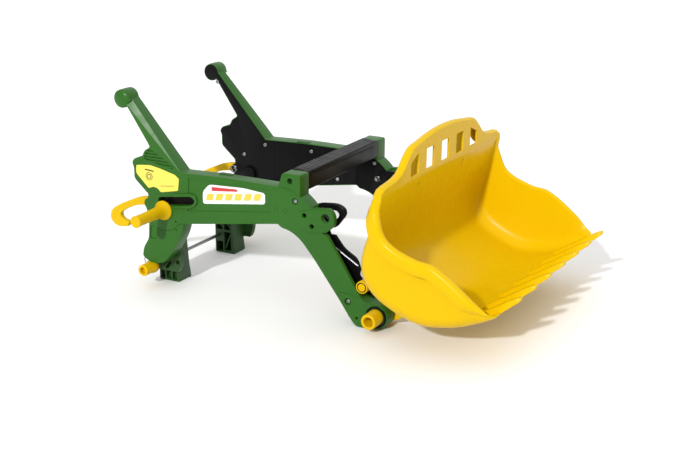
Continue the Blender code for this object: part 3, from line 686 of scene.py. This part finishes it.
def labels(side, s, finishes):
    """A white label with a bar and a row of blocks on the beam, a yellow one with a ring mark behind it."""
    skin = 0.25
    parts = []

    def film(name, colour, outline, base, layer=1):
        outer = base + skin * layer
        parts.append(moulding(name + "_" + side, finishes[colour], outline, s * (base - 0.4), s * outer, 0))

    film("beam_label", "white", rounded([(-199, 166, 5), (-77, 181.5, 5), (-77, 200, 5), (-118, 203.5, 6),
                                         (-186, 201, 6), (-199, 187, 6)]), LABEL_FLOOR)
    stripe = []
    for k in range(6):
        x = -193 + 18.6 * k
        z = 172 + (x + 199) * 0.127
        stripe.append([(x, z, 2), (x + 13.5, z + 1.7, 2), (x + 17, z + 13.5, 2), (x + 3.5, z + 12, 2)])
    for k, corners in enumerate(stripe):
        film("beam_block_%d" % (k + 1), "amber", rounded(corners), LABEL_FLOOR, 2)
    film("beam_bar", "red", rounded([(-181, 190.5, 2), (-130, 195.8, 2), (-130, 199.6, 2), (-181, 197.5, 2)]),
         LABEL_FLOOR, 2)
    film("panel_label", "label", rounded(STICKER), FRAME_OUTER)

    bm = bmesh.new()
    centre = (-307, 200)
    base, top = FRAME_OUTER, FRAME_OUTER + 2 * skin
    for inner, outer in ((3.0, 4.2), (6.0, 7.0)):
        turned(bm, s, centre, [(base, inner), (top, inner), (top, outer), (base, outer)], 40, closed=True)
    bar = [(-316, 210.5), (-297, 209), (-297, 211), (-315, 212.6)]
    prism(bm, bar, s * base, s * top)
    prism(bm, [(-286, 185.3), (-256, 188.8), (-256, 189.6), (-286, 186.1)], s * base, s * top)
    parts.append(place(bm, "panel_mark_" + side, finishes["ink"]))
    for part in parts:
        settle(part, "lift_frame", "green_plastic")


def plates(side, s, finishes):
    """The black plates that close a side frame, cut at their seams and bored for the pins."""
    rear_seam, front_seam = PLATE_SEAMS
    spans = (("handle_plate", SHELL_ARM_FRONT, -390, rear_seam - GAP),
             ("beam_plate", SHELL_ARM_FRONT, rear_seam + GAP, front_seam - GAP),
             ("arm_plate", PLATE_ARM_FRONT, front_seam + GAP, 170))
    for name, arm_front, low_x, high_x in spans:
        plate = moulding(name + "_skin_" + side, finishes["black"], frame_outline(arm_front, LIP + GAP),
                         s * FRAME_INNER, s * PLATE_OUTER, 0.6)
        bm = bmesh.new()
        block(bm, (-400, s * 115, -20), (low_x, s * 130, 360))
        block(bm, (high_x, s * 115, -20), (180, s * 130, 360))
        for axis, radius in ((LIFT_PIVOT, PEG_RADIUS), (BUCKET_PIVOT, BUCKET_PIN_RADIUS), (LATCH_PIN, 5.0)):
            if low_x < axis[0] < high_x:
                drill(bm, s, axis, radius + GAP, 118, 128)
        if low_x < HOOK_PIVOT[0] < high_x:
            drill(bm, s, HOOK_PIVOT, 2.8, 118.5, 127.5, 24)
        carve(plate, bm)
        if name == "arm_plate":
            open_behind_wall(plate, s, EAR_POCKET)
        settle(plate, "lift_frame", "black_plastic", name + "_" + side)


def screw(finish):
    """A pan-head screw with a cross recess, at the origin, its head towards -Y."""
    bm = bmesh.new()
    head = [(0.6, 3.4), (-0.5, 3.5), (-1.2, 3.1), (-1.6, 2.2), (-1.75, 0.8)]
    turned(bm, 1, (-SHIFT, 0), head, 24)
    item = place(bm, "screw_pattern", finish)
    bm = bmesh.new()
    long, thin = 2.1, 0.42
    quarter = [(long, -thin), (long, thin), (thin, thin)]
    cross = []
    for turn in range(4):
        cross += quarter
        quarter = [(-z, x) for x, z in quarter]
    prism(bm, [(x - SHIFT, z) for x, z in cross], -3, -0.9)
    carve(item, bm)
    return smooth(item)


def screws(side, s, finishes, trees):
    """The plate screws on the inner face and the two larger ones on the outer face."""
    pattern = screw(finishes["steel"])
    for name, spots, y, faces in (("plate_screws_", SCREWS, 121.9, 1),
                                  ("outer_screws_", OUTER_SCREWS, 148.0, -1)):
        towards_minus_y = s * faces > 0
        if not towards_minus_y:
            pattern.data.transform(Matrix.Rotation(math.pi, 4, "Z"))
        bm = bmesh.new()
        for x, z in spots:
            bm.verts.new((x, s * y, z))
        group = place(bm, name + side)
        grow(group, trees["points"], Piece=pattern, Seed=11 + s, Finish=finishes["steel"])
        if not towards_minus_y:
            pattern.data.transform(Matrix.Rotation(math.pi, 4, "Z"))
        settle(group, "lift_frame", "zinc_steel")
        if faces > 0:
            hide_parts(*["plate_screw_%s_%d" % (side, number) for number in range(1, 7)])
    bpy.data.objects.remove(pattern, do_unlink=True)


def sockets_and_bar(finishes, trees):
    """The crossbar's two sockets and the bar itself, ribbed along its top."""
    for side, s in SIDES:
        outline = [(-43.3, 239, 4), (-51, 215.3, 1)] + arc(BEAM_ARC, 81.4, 80.6, 56.5, 10)
        outline += [(-9.9, 238.7, 4)]
        socket = moulding("socket_" + side, finishes["green"], rounded(outline),
                          s * 121.7, s * FRAME_OUTER, 2.0)
        bm = bmesh.new()
        turned(bm, s, CROSSBAR_BOLT, [(127, 4.6), (149, 4.6), (150.2, 5.8), (153, 5.8)], 32)
        carve(socket, bm)
        settle(socket, "lift_frame", "green_plastic", "crossbar_socket_" + side)

    outline = rounded([(-41, 208, 3), (-10.3, 208, 3), (-10.3, 239, 3), (-41, 240.5, 3)])
    bar = moulding("bar", finishes["black"], outline, -121.4, 121.4, 1.0)
    bm = bmesh.new()
    prism(bm, rounded([(-36, 200, 0), (-15, 200, 0), (-15, 233, 2), (-36, 234, 2)]), -112, 112)
    carve(bar, bm)
    bm = bmesh.new()
    for _, s in SIDES:
        block(bm, (-45, s * 114, 238), (-22, s * 116, 245))
        block(bm, (-30, s * 106, 237.5), (-5, s * 108, 245))
    carve(bar, bm)
    bm = bmesh.new()
    for x in (-36.5, -28.6, -20.7):
        block(bm, (x, -104, 239.1), (x + 0.9, 104, 245))
    block(bm, (-11.2, -104, 231), (-5, 104, 232))
    carve(bar, bm)
    settle(bar, "lift_frame", "black_plastic", "crossbar")

    bm = bmesh.new()
    block(bm, (-35, -99, 209), (-16, -97, 233))
    webs = place(bm, "bar_webs", finishes["black"])
    grow(webs, trees["line"], Count=8, Offset=(0, 28 * MM, 0), Finish=finishes["black"])
    settle(webs, "lift_frame", "black_plastic")


# ---------------------------------------------------------------- fittings

def pins(side, s, finishes):
    """The hollow bucket pin and the headed latch pin."""
    bm = bmesh.new()
    end = BUCKET_PIN_END
    profile = [(98, 12.4), (98.6, 13), (end - 1.6, 13), (end - 0.5, 12.6), (end, 11.8), (end, 8.8),
               (end - 0.6, 8.2), (152, 7.2), (150, 6.0)]
    turned(bm, s, BUCKET_PIVOT, profile, 64)
    pin = place(bm, "pin_" + side, finishes["yellow"])
    bm = bmesh.new()
    profile = [(117, 5), (139, 5), (139, 10.5), (148.9, 10.5), (149.8, 10.1), (150.1, 9.4), (150.1, 8.5),
               (148.2, 8.2), (148.2, 6.6), (150, 6.3), (150, 3.2), (149.2, 2.8), (149.2, 1.0)]
    turned(bm, s, LATCH_PIN, profile, 56)
    latch = place(bm, "latch_" + side, finishes["yellow"])
    bm = bmesh.new()
    ring = [(147.9, 6.7), (148.9, 6.7), (148.9, 8.1), (147.9, 8.1)]
    turned(bm, s, LATCH_PIN, ring, 48, closed=True)
    settle(place(bm, "latch_ring_" + side, finishes["black"]), "lift_frame", "black_plastic")
    for piece, node in ((pin, "bucket_pin_" + side), (latch, "latch_pin_" + side)):
        settle(piece, "lift_frame", "yellow_plastic", node)


def hook(side, s, finishes, trees):
    """The J-shaped rear hook, waisted along its middle, and the spring round its pin."""
    outline = [(-311, 160.5, 3), (-341, 156, 14), (-382, 138, 14), (-403, 125, 9), (-405.5, 107, 8)]
    outline += [(-392, 95.5, 10), (-367, 98, 5), (-364, 107.5, 3), (-378, 110.5, 7), (-384, 120, 7)]
    outline += [(-372, 129, 9), (-346, 141, 12), (-316, 144, 3), (-303.5, 144.5, 5), (-301, 151.5, 4)]
    outline += [(-303.5, 159, 5)]
    piece = moulding("hook_" + side, finishes["yellow"], rounded(outline), s * 127, s * 137.4, 2.4)
    bm = bmesh.new()
    drill(bm, s, HOOK_PIVOT, 2.8, 120, 145, 28)
    groove = [(-318, 154.5, 2), (-343, 150.5, 8), (-378, 135, 8), (-395, 122, 5), (-397.5, 110, 3),
              (-393, 110, 3), (-389.5, 121, 5), (-375, 132, 8), (-345, 146, 8), (-318, 149.5, 2)]
    slab(bm, s, groove, 136.9, 140)
    slab(bm, s, groove, 120, 127.5)
    carve(piece, bm)
    settle(piece, "rear_hook_" + side, "yellow_plastic", "rear_hook_" + side)

    coil = place(bmesh.new(), "hook_spring_" + side)
    x, z = HOOK_PIVOT
    start = 121.4 if s < 0 else 117.4
    grow(coil, trees["coil"], Turns=3.75, Radius=6.4 * MM, Length=4.0 * MM, Wire=0.55 * MM,
         Centre=in_frame(x, s * start, z), Finish=finishes["steel"])
    settle(coil, "lift_frame", "zinc_steel")


def finger_loop(side, s, finishes, trees):
    """The black finger loop, rounded like a grip, and its torsion spring."""
    outline = [(-9, 167, 5), (-9, 180, 5), (8, 187.5, 8), (40, 190.5, 11), (54, 184, 9), (56, 173, 8)]
    outline += [(38, 150, 7), (27, 148, 6), (10, 165, 6)]
    loop = moulding("grip_" + side, finishes["black"], rounded(outline), s * 110, s * 119, 2.4)
    bm = bmesh.new()
    hole = [(13, 171, 4), (13, 177, 4), (40, 180, 6), (46, 172, 6), (34, 160, 4), (26, 160, 4)]
    slab(bm, s, hole, 100, 125)
    drill(bm, s, LOOP_PIVOT, 2.8, 100, 125, 28)
    carve(loop, bm)
    settle(loop, "release_loop_" + side, "black_plastic", "release_loop_" + side)

    coil = place(bmesh.new(), "loop_coil_" + side)
    x, z = LOOP_PIVOT
    start = 108.6 if s > 0 else 103.8
    grow(coil, trees["coil"], Turns=3.0, Radius=4.2 * MM, Length=4.8 * MM, Wire=0.6 * MM,
         Centre=in_frame(x, s * start if s > 0 else -start, z), Finish=finishes["steel"])
    settle(coil, "lift_frame", "zinc_steel", "loop_spring_" + side)


# ---------------------------------------------------------------- consoles

def console(side, s, finishes, trees):
    """The mounting leg with its tongue, sunk rear field and inner hollow."""
    top = [(-239.6, 124.2, 1)] + arc(LIFT_PIVOT, HUB_RADIUS + 0.4, 325, 216, 30)
    rear = [(-311.9, 117, 3), (-313.4, 88.9, 7), (-325, 70.8, 6), (-328, 54.5, 5), (-313.6, 46, 4)]
    front = [(-300, 45, 3), (-283.8, 48.1, 9), (-261.6, 75.1, 14), (-245.9, 102.6, 12)]
    leg = moulding("leg_" + side, finishes["green"], rounded(top + rear + front),
                   s * FRAME_INNER, s * FRAME_OUTER, 2.2)
    x, z = LIFT_PIVOT
    bm = bmesh.new()
    tongue = arc((x, z), 16, 0, 180, 24) + [(x - 16, z - 40), (x + 16, z - 40)]
    prism(bm, tongue, s * 126.3, s * 137.7)
    carve(leg, bm, "UNION")
    bm = bmesh.new()
    drill(bm, s, (x, z), PEG_RADIUS + GAP, 120, 152)
    slab(bm, s, [(-309, 112, 2), (-294, 114, 3), (-297, 90, 3), (-311, 89, 2)], 148.2, 152)
    slab(bm, s, [(-304, 84, 3), (-273, 84, 3), (-287, 58, 3), (-312, 58, 3)], 120, 144)
    drill(bm, s, (-255.5, 112), 1.6, 146, 152, 20)
    carve(leg, bm)
    settle(leg, "root", "green_plastic", "console_" + side)

    bm = bmesh.new()
    block(bm, (-309, s * 128, 58.5), (-307.6, s * 143.8, 83.5))
    ribs = place(bm, "leg_ribs_" + side, finishes["deep_green"])
    grow(ribs, trees["line"], Count=3, Offset=(11 * MM, 0, 0), Finish=finishes["deep_green"])
    settle(ribs, "root", "green_plastic")


def foot(side, s, finishes):
    """The ribbed foot block, open towards the tractor, with notched soles."""
    outline = [(-325, 0, 3), (-282.5, 0, 3), (-286, 24, 4), (-290, 74, 5), (-325, 74, 5)]
    body = moulding("foot_" + side, finishes["deep_green"], rounded(outline), s * 70.5, s * 121.7, 1.2)
    bm = bmesh.new()
    toe = [(-291, 9), (-284, 14, 5), (-272, 27, 8), (-267, 44, 8), (-268, 62, 6), (-291, 70)]
    slab(bm, s, toe, 112, 121.7)
    carve(body, bm, "UNION")
    bm = bmesh.new()
    cells = [(-322, -308, 45, 71), (-305, -292, 45, 71), (-322, -308, 3, 22), (-305, -290.5, 5, 41)]
    for x0, x1, z0, z1 in cells:
        slab(bm, s, [(x0, z0, 2), (x1, z0, 2), (x1, z1, 2), (x0, z1, 2)], 60, 98)
    carve(body, bm)
    bm = bmesh.new()
    block(bm, (-340, s * SOLE_OUTER, -5), (-250, s * 130, SOLE_STEP))
    carve(body, bm)
    bm = bmesh.new()
    drill(bm, s, FOOT_ROD, 3.3, 60, 130, 28)
    carve(body, bm)
    bm = bmesh.new()
    for x0, x1 in ((-322, -313), (-310.5, -300), (-297.5, -288)):
        slab(bm, s, [(x0, 3, 1.5), (x1, 3, 1.5), (x1 - 1.5, 20.5, 1.5), (x0, 20.5, 1.5)], 100.5, 112)
    slanted = [(-302, 28, 1.5), (-297, 26.5, 1.5), (-288, 40, 1.5), (-292, 43, 1.5)]
    slab(bm, s, slanted, 113, 126)
    turned(bm, s, (-275, 42), [(113, 3.6), (126, 3.8)], 28)
    turned(bm, s, (-279, 56), [(113, 2.4), (126, 2.6)], 24)
    for y in (78, 90):
        block(bm, (-330, s * y, -2), (-276, s * (y + 3.5), 2.4))
    carve(body, bm)
    settle(body, "root", "green_plastic", "foot_block_" + side)

    bm = bmesh.new()
    prism(bm, [(-305.5, 8), (-303, 8), (-290, 38), (-292.5, 38)], s * 72, s * 97)
    prism(bm, [(-322, 66), (-319.5, 66), (-308, 49), (-310.5, 49)], s * 72, s * 97)
    prism(bm, [(-305.5, 66), (-303, 66), (-291.5, 49), (-294, 49)], s * 72, s * 97)
    ribs = place(bm, "foot_ribs_" + side, finishes["deep_green"])
    settle(ribs, "root", "green_plastic")


def peg_and_knob(side, s, finishes, trees):
    """The long lift peg with its flange, the knob on the cross rod and its retaining ring."""
    bm = bmesh.new()
    profile = [(116, PEG_RADIUS), (150.5, PEG_RADIUS), (150.5, 16.4), (151.1, 17), (153.8, 17), (155, 16.2),
               (157.5, 14.4), (161, 12.6), (165, 11.2), (170, 10.3), (178, 9.9), (227, 9.5), (228, 10.2),
               (230.6, 10.2), (231.6, 9.6), (PEG_END, 8.4), (PEG_END - 0.6, 7.4), (PEG_END - 0.6, 2)]
    turned(bm, s, LIFT_PIVOT, profile, 64)
    peg = place(bm, "peg_" + side, finishes["yellow"])
    settle(peg, "root", "yellow_plastic", "lift_peg_" + side)

    bm = bmesh.new()
    cap = [(121.7, 14.4), (121.7, 15.4), (117, 15.4), (115.2, 14.6), (114.6, 13), (114.6, 0.2), (115.4, 0.2),
           (115.4, 12.6), (116.4, 14.4)]
    turned(bm, s, LIFT_PIVOT, cap, 56, closed=True)
    settle(place(bm, "hub_cap_" + side, finishes["black"]), "root", "black_plastic")

    bm = bmesh.new()
    profile = [(130, 7.6), (130.4, 8.8), (133.4, 11.2), (134.4, 11.6), (143.4, 11.6), (144.4, 11.2),
               (146.8, 10.2), (164.4, 10.1), (165.8, 9.6), (166.4, 8.6), (166.4, 6.4), (165.6, 5.8),
               (158, 5.6)]
    turned(bm, s, FOOT_ROD, profile, 56)
    core = place(bm, "knob_core_" + side, finishes["yellow"])
    bm = bmesh.new()
    x, z = FOOT_ROD
    block(bm, (x + 10.8, s * 135.5, z - 1.0), (x + 12.0, s * 142.5, z + 1.0))
    notches = place(bm, "knob_grips_" + side, finishes["yellow"])
    soften(notches, 0.45, 2)
    grow(notches, trees["ring"], Count=16, Centre=in_frame(x, 0, z), Finish=finishes["yellow"])
    for piece in (core, notches):
        settle(piece, "rod_knob_" + side, "yellow_plastic")
    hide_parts("rod_knob_" + side)

    bm = bmesh.new()
    wire, reach = 0.8, 10.0
    ring = [(135 + wire * math.sin(turn), reach + wire * math.cos(turn))
            for turn in (math.tau * k / 10 for k in range(10))]
    turned(bm, s, (x - 8, z + 9), ring, 56, closed=True)
    settle(place(bm, "retaining_ring_" + side, finishes["steel"]), "root", "zinc_steel")


# ---------------------------------------------------------------- bucket

# From the lip, along the floor and up the back: a point of the inside surface in the middle
# plane, then the point of the rim's crown that its side wall runs up to.
STATIONS = (
    (358, 88, 352, 93), (329, 71, 333, 107), (300, 59, 311, 124), (270, 52, 295, 136),
    (240, 49, 280, 146), (212, 54, 262, 155), (183, 66, 240, 158), (156, 83, 218, 165),
    (139, 106, 202, 172), (135, 132, 188, 182), (142, 163, 180, 195), (155, 194, 176, 211),
    (168, 226, 174, 228), (175, 246, 176.5, 240),
)
ROWS_BETWEEN = 5
FLAT_COLUMNS = 22
CORNER_COLUMNS = 10
WALL_COLUMNS = 5
PLATE_ROWS = 9
BUCKET_WALL = 3.2
FLOOR_HALF = 222.0
RIM_HALF = 230.5
CORNER_RADIUS = 26.0
PLATE_X = 176.5
TOOTH_COUNT = 7
TOOTH_PITCH = 61.7
GRILLE_CENTRES = (-114.0, -57.0, 0.0, 57.0, 114.0)
GRILLE_HALF = 14.0
GRILLE_Z = (254.0, 288.0)
# The rolled rim, out from the inside surface and up: crown, roll and the skirt's foot
RIM_SECTION = ((1.5, 1.6), (4.0, 2.9), (7.0, 3.2), (10.0, 2.5), (12.4, 0.9), (14.1, -1.7), (14.9, -5.0),
               (15.3, -10.0), (15.5, -16.4), (15.1, -17.6), (13.9, -17.6), (13.0, -16.4), (12.2, -8.6),
               (10.6, -3.6), (7.2, -1.0))


def smooth_value(values, place_along):
    """A smooth curve through evenly spaced values, read at a fractional place."""
    k = min(int(place_along), len(values) - 2)
    t = place_along - k
    before = values[max(k - 1, 0)]
    start, end = values[k], values[k + 1]
    after = values[min(k + 2, len(values) - 1)]
    bend = (end - before) / 2, (after - start) / 2
    return (start * (2 * t ** 3 - 3 * t ** 2 + 1) + bend[0] * (t ** 3 - 2 * t ** 2 + t)
            + end * (3 * t ** 2 - 2 * t ** 3) + bend[1] * (t ** 3 - t ** 2))


def section(floor, crown):
    """Half of a cross-section, from the middle out: (distance from the middle, (x, z))."""
    rise = crown - floor
    radius = min(CORNER_RADIUS, rise.length * 0.62)
    up = rise.normalized()
    turn = math.pi / 2 - math.atan2(RIM_HALF - FLOOR_HALF, max(rise.length, 40))
    flat_end = FLOOR_HALF - radius * math.tan(turn / 2)
    points = [(flat_end * k / FLAT_COLUMNS, floor) for k in range(FLAT_COLUMNS + 1)]
    for k in range(1, CORNER_COLUMNS + 1):
        angle = turn * k / CORNER_COLUMNS
        points.append((flat_end + radius * math.sin(angle), floor + up * radius * (1 - math.cos(angle))))
    last_y, last = points[-1]
    for k in range(1, WALL_COLUMNS + 1):
        t = k / WALL_COLUMNS
        points.append((last_y + (RIM_HALF - last_y) * t, last.lerp(crown, t)))
    return points


def back_top(distance):
    """Height of the back plate's top edge, at a distance from the middle."""
    knots = ((0, 310), (82, 303), (119, 298), (137, 284), (148, 273), (160, 264), (185, 259), (215, 256),
             (228, 252), (236, 244))
    for (y0, z0), (y1, z1) in zip(knots, knots[1:]):
        if distance <= y1:
            t = (distance - y0) / (y1 - y0)
            return z0 + (z1 - z0) * t * t if y0 == 0 else z0 + (z1 - z0) * t
    return knots[-1][1]


def softened_top(distance):
    """The top edge with its corners eased over a few millimetres."""
    spread = (-6, -3, 0, 3, 6)
    return sum(back_top(min(abs(distance + step), 236)) for step in spread) / len(spread)


def bucket_sheet():
    """The inside surface as rows of points, each from the right rim across to the left."""
    rows = []
    for step in range((len(STATIONS) - 1) * ROWS_BETWEEN + 1):
        spot = step / ROWS_BETWEEN
        fx, fz, cx, cz = (smooth_value([station[k] for station in STATIONS], spot) for k in range(4))
        half = section(Vector((fx, fz)), Vector((cx, cz)))
        right = [Vector((point.x, -y, point.y)) for y, point in reversed(half)]
        left = [Vector((point.x, y, point.y)) for y, point in half[1:]]
        rows.append(right + left)
    crease = rows[-1]
    for step in range(1, PLATE_ROWS + 1):
        t = step / PLATE_ROWS
        rows.append([Vector((p.x + (PLATE_X - p.x) * t, p.y, p.z + (softened_top(p.y) - p.z) * t))
                     for p in crease])
    return rows


def sheet_normals(rows):
    """Unit normals of the sheet, pointing into the bucket."""
    normals = []
    for i, row in enumerate(rows):
        line = []
        for j in range(len(row)):
            along = rows[min(i + 1, len(rows) - 1)][j] - rows[max(i - 1, 0)][j]
            across = row[min(j + 1, len(row) - 1)] - row[max(j - 1, 0)]
            line.append(along.cross(across).normalized() * -1)
        normals.append(line)
    return normals


def rim_path(rows):
    """Row and column of each rim point: up the right side, over the back, down the left."""
    last_row, last_column = len(rows) - 1, len(rows[0]) - 1
    path = [(i, 0) for i in range(last_row + 1)]
    path += [(last_row, j) for j in range(1, last_column)]
    path += [(i, last_column) for i in range(last_row, -1, -1)]
    return path


def rim_rings(bm, rows, normals, inner, outer):
    """The rolled rim's rings of points, from the inside surface over the crown to the outside."""
    path = rim_path(rows)
    last_column = len(rows[0]) - 1
    frames = []
    for number, (i, j) in enumerate(path):
        before, after = path[max(number - 2, 0)], path[min(number + 2, len(path) - 1)]
        tangent = (rows[after[0]][after[1]] - rows[before[0]][before[1]]).normalized()
        away = -normals[i][j]
        up = away.cross(tangent).normalized()
        column = 1 if j == 0 else last_column - 1 if j == last_column else j
        row = i - 1 if 0 < j < last_column else i
        if up.dot(rows[row][column] - rows[i][j]) > 0:
            up = -up
        frames.append((away, up))
    loops = []
    for number, (i, j) in enumerate(path):
        near = frames[max(number - 2, 0):number + 3]
        away = sum((pair[0] for pair in near), Vector()).normalized()
        up = sum((pair[1] for pair in near), Vector()).normalized()
        swell = min(1.0, 0.25 + number / 10, 0.25 + (len(path) - 1 - number) / 10)
        ring = [inner[i][j]]
        ring += [bm.verts.new(rows[i][j] + (away * out + up * rise) * swell) for out, rise in RIM_SECTION]
        ring.append(outer[i][j])
        loops.append(ring)
    return loops


def bucket_body(finish):
    """The thin-walled scoop with its rolled rim and grille slots."""
    rows = bucket_sheet()
    normals = sheet_normals(rows)
    bm = bmesh.new()
    inner = [[bm.verts.new(p) for p in row] for row in rows]
    outer = [[bm.verts.new(p - n * BUCKET_WALL) for p, n in zip(row, line)]
             for row, line in zip(rows, normals)]
    for i in range(len(rows) - 1):
        for j in range(len(rows[0]) - 1):
            for grid in (inner, outer):
                bm.faces.new((grid[i][j], grid[i][j + 1], grid[i + 1][j + 1], grid[i + 1][j]))
    for j in range(len(rows[0]) - 1):
        bm.faces.new((inner[0][j], inner[0][j + 1], outer[0][j + 1], outer[0][j]))
    loops = rim_rings(bm, rows, normals, inner, outer)
    for first, last in zip(loops, loops[1:]):
        for k in range(len(first) - 1):
            bm.faces.new((first[k], first[k + 1], last[k + 1], last[k]))
    for ring in (loops[0], loops[-1]):
        bm.faces.new(ring)
    body = place(bm, "scoop", finish)

    bm = bmesh.new()
    low, high = GRILLE_Z
    for y in GRILLE_CENTRES:
        clipped = high if abs(y) < 100 else high - 12
        heights = (clipped, high) if y < 0 else (high, clipped)
        corners = [(y - GRILLE_HALF, low), (y + GRILLE_HALF, low), (y + GRILLE_HALF, heights[1]),
                   (y - GRILLE_HALF, heights[0])]
        outline = rounded([(cy, cz, 2.5) for cy, cz in corners], 4)
        skin(bm, [[bm.verts.new((x, cy, cz)) for cy, cz in outline] for x in (150, 190)])
    carve(body, bm)
    return body


def tooth_pattern(finish):
    """One digging tooth at the right-hand end: a rib out of the floor, ending in a blunt tip."""
    spine = ((298, 57.0, 5.0, 1.0), (305, 60.5, 7.2, 4.6), (325, 69.8, 9.8, 8.2), (345, 81.0, 12.2, 8.8),
             (357, 88.6, 13.4, 8.8), (369, 97.2, 11.4, 7.6), (379, 104.0, 8.6, 6.0), (385, 108.0, 6.6, 4.8),
             (387, 109.4, 4.6, 3.0))
    ring = ((-0.9, -0.55), (0.9, -0.55), (1, -0.35), (0.74, 0.82), (0.62, 1.0), (-0.62, 1.0), (-0.74, 0.82),
            (-1, -0.35))
    start = -(TOOTH_COUNT - 1) / 2 * TOOTH_PITCH
    bm = bmesh.new()
    skin(bm, [[bm.verts.new((x, start + half * dy, z + thick * dz)) for dy, dz in ring]
              for x, z, half, thick in spine])
    return soften(place(bm, "teeth", finish), 0.7, 2)


def bucket_parts(finishes, trees):
    """The scoop, its teeth, hinge lugs and gussets, all on the bucket."""
    finish = finishes["bucket"]
    body = bucket_body(finish)
    teeth = tooth_pattern(finish)
    grow(teeth, trees["line"], Count=TOOTH_COUNT, Offset=(0, TOOTH_PITCH * MM, 0), Finish=finish)
    parts = [body, teeth]
    for side, s in SIDES:
        lug = arc(BUCKET_PIVOT, 18, 120, 285, 20)
        lug += [(156, 14, 6), (196, 47, 4), (205, 56), (182, 64), (154, 83), (142, 96)]
        lug = moulding("lug_" + side, finish, rounded(lug), s * 100, s * 121.5, 1.6)
        bm = bmesh.new()
        drill(bm, s, BUCKET_PIVOT, BUCKET_PIN_RADIUS + GAP, 96, 125)
        carve(lug, bm)
        gusset = [(172, 296), (173, 236), (152, 190), (138, 175, 4), (144, 240, 12), (150, 288, 8)]
        parts += [lug, moulding("gusset_" + side, finish, rounded(gusset), s * 81, s * 89, 1.2)]
    for part in parts:
        settle(part, "bucket", "bucket_plastic")
    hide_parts("bucket")


# ---------------------------------------------------------------- kept nodes

def finish_kept_nodes(finishes):
    """The nodes that still show are rods, pins, bolts and washers, all plated steel."""
    for name, node in frame["nodes"].items():
        if node.hide_render:
            continue
        node.data.materials.clear()
        node.data.materials.append(finishes["steel"])


# ---------------------------------------------------------------- room

FLOOR_REACH = 30000
BRIGHTEST = (0.1, 0.45, 0.887)          # where the surround is brightest
SURROUND = (-0.3, 0.85, 0.22, 1.15)     # from and to in that direction, then the strengths there
SUN_STRENGTH = 2.65
SUN_SPREAD = math.radians(2.5)
TOWARDS_SUN = (0.09, -0.88, 0.47)
VIEW_FROM = math.radians(28.3), math.radians(17.02)
VIEW_DISTANCE = 2.376
VIEW_HEIGHT = 0.11745
LENS = 71.5


def studio():
    """A pale floor, a surround that is brightest overhead and one soft key light from the right."""
    bm = bmesh.new()
    reach = FLOOR_REACH
    for corner in ((-reach, -reach, 0), (reach, -reach, 0), (reach, reach, 0), (-reach, reach, 0)):
        bm.verts.new(corner)
    bm.faces.new(bm.verts)
    finish = Finish("pale_floor", 0.9)
    finish.shader.inputs["Specular IOR Level"].default_value = 0.1
    finish.colour(finish.mix(finish.noise(3.0), (0.90, 0.90, 0.90), (0.885, 0.885, 0.885)))
    place(bm, "floor", finish.material)

    scene = bpy.context.scene
    scene.view_settings.view_transform = "Standard"
    world = bpy.data.worlds.new("surround")
    world.use_nodes = True
    nodes, link = world.node_tree.nodes, world.node_tree.links.new
    nodes["Background"].inputs["Color"].default_value = (1, 1, 1, 1)
    direction = nodes.new("ShaderNodeTexCoord").outputs["Generated"]
    height = nodes.new("ShaderNodeVectorMath")
    height.operation = "DOT_PRODUCT"
    height.inputs[1].default_value = BRIGHTEST
    span = nodes.new("ShaderNodeMapRange")
    for socket, number in zip(("From Min", "From Max", "To Min", "To Max"), SURROUND):
        span.inputs[socket].default_value = number
    link(direction, height.inputs[0])
    link(height.outputs["Value"], span.inputs["Value"])
    link(span.outputs["Result"], nodes["Background"].inputs["Strength"])
    scene.world = world

    light = bpy.data.lights.new("key", "SUN")
    light.energy = SUN_STRENGTH
    light.angle = SUN_SPREAD
    key = bpy.data.objects.new("key", light)
    key.rotation_euler = Vector(TOWARDS_SUN).to_track_quat("Z", "Y").to_euler()
    scene.collection.objects.link(key)


def camera():
    """A long-lens camera on the loader's right front quarter, a little above it."""
    azimuth, elevation = VIEW_FROM
    back = Vector((math.sin(azimuth) * math.cos(elevation), -math.cos(azimuth) * math.cos(elevation),
                   math.sin(elevation)))
    target = Vector((SHIFT * MM, 0, VIEW_HEIGHT))
    lens = bpy.data.cameras.new("view")
    lens.sensor_width = 36
    lens.lens = LENS
    item = bpy.data.objects.new("view", lens)
    item.location = target + back * VIEW_DISTANCE
    item.rotation_euler = back.to_track_quat("Z", "Y").to_euler()
    bpy.context.scene.collection.objects.link(item)
    bpy.context.scene.camera = item


def main():
    finishes = make_finishes()
    trees = {"line": line_tree(), "ring": ring_tree(), "points": scatter_tree(), "coil": coil_tree()}
    camera()
    studio()
    bucket_parts(finishes, trees)
    for side, s in SIDES:
        settle(side_shell(side, s, finishes), "lift_frame", "green_plastic", "side_shell_" + side)
        shell_trim(side, s, finishes, trees)
        labels(side, s, finishes)
        plates(side, s, finishes)
        screws(side, s, finishes, trees)
        pins(side, s, finishes)
        hook(side, s, finishes, trees)
        finger_loop(side, s, finishes, trees)
        console(side, s, finishes, trees)
        foot(side, s, finishes)
        peg_and_knob(side, s, finishes, trees)
    sockets_and_bar(finishes, trees)
    finish_kept_nodes(finishes)


main()
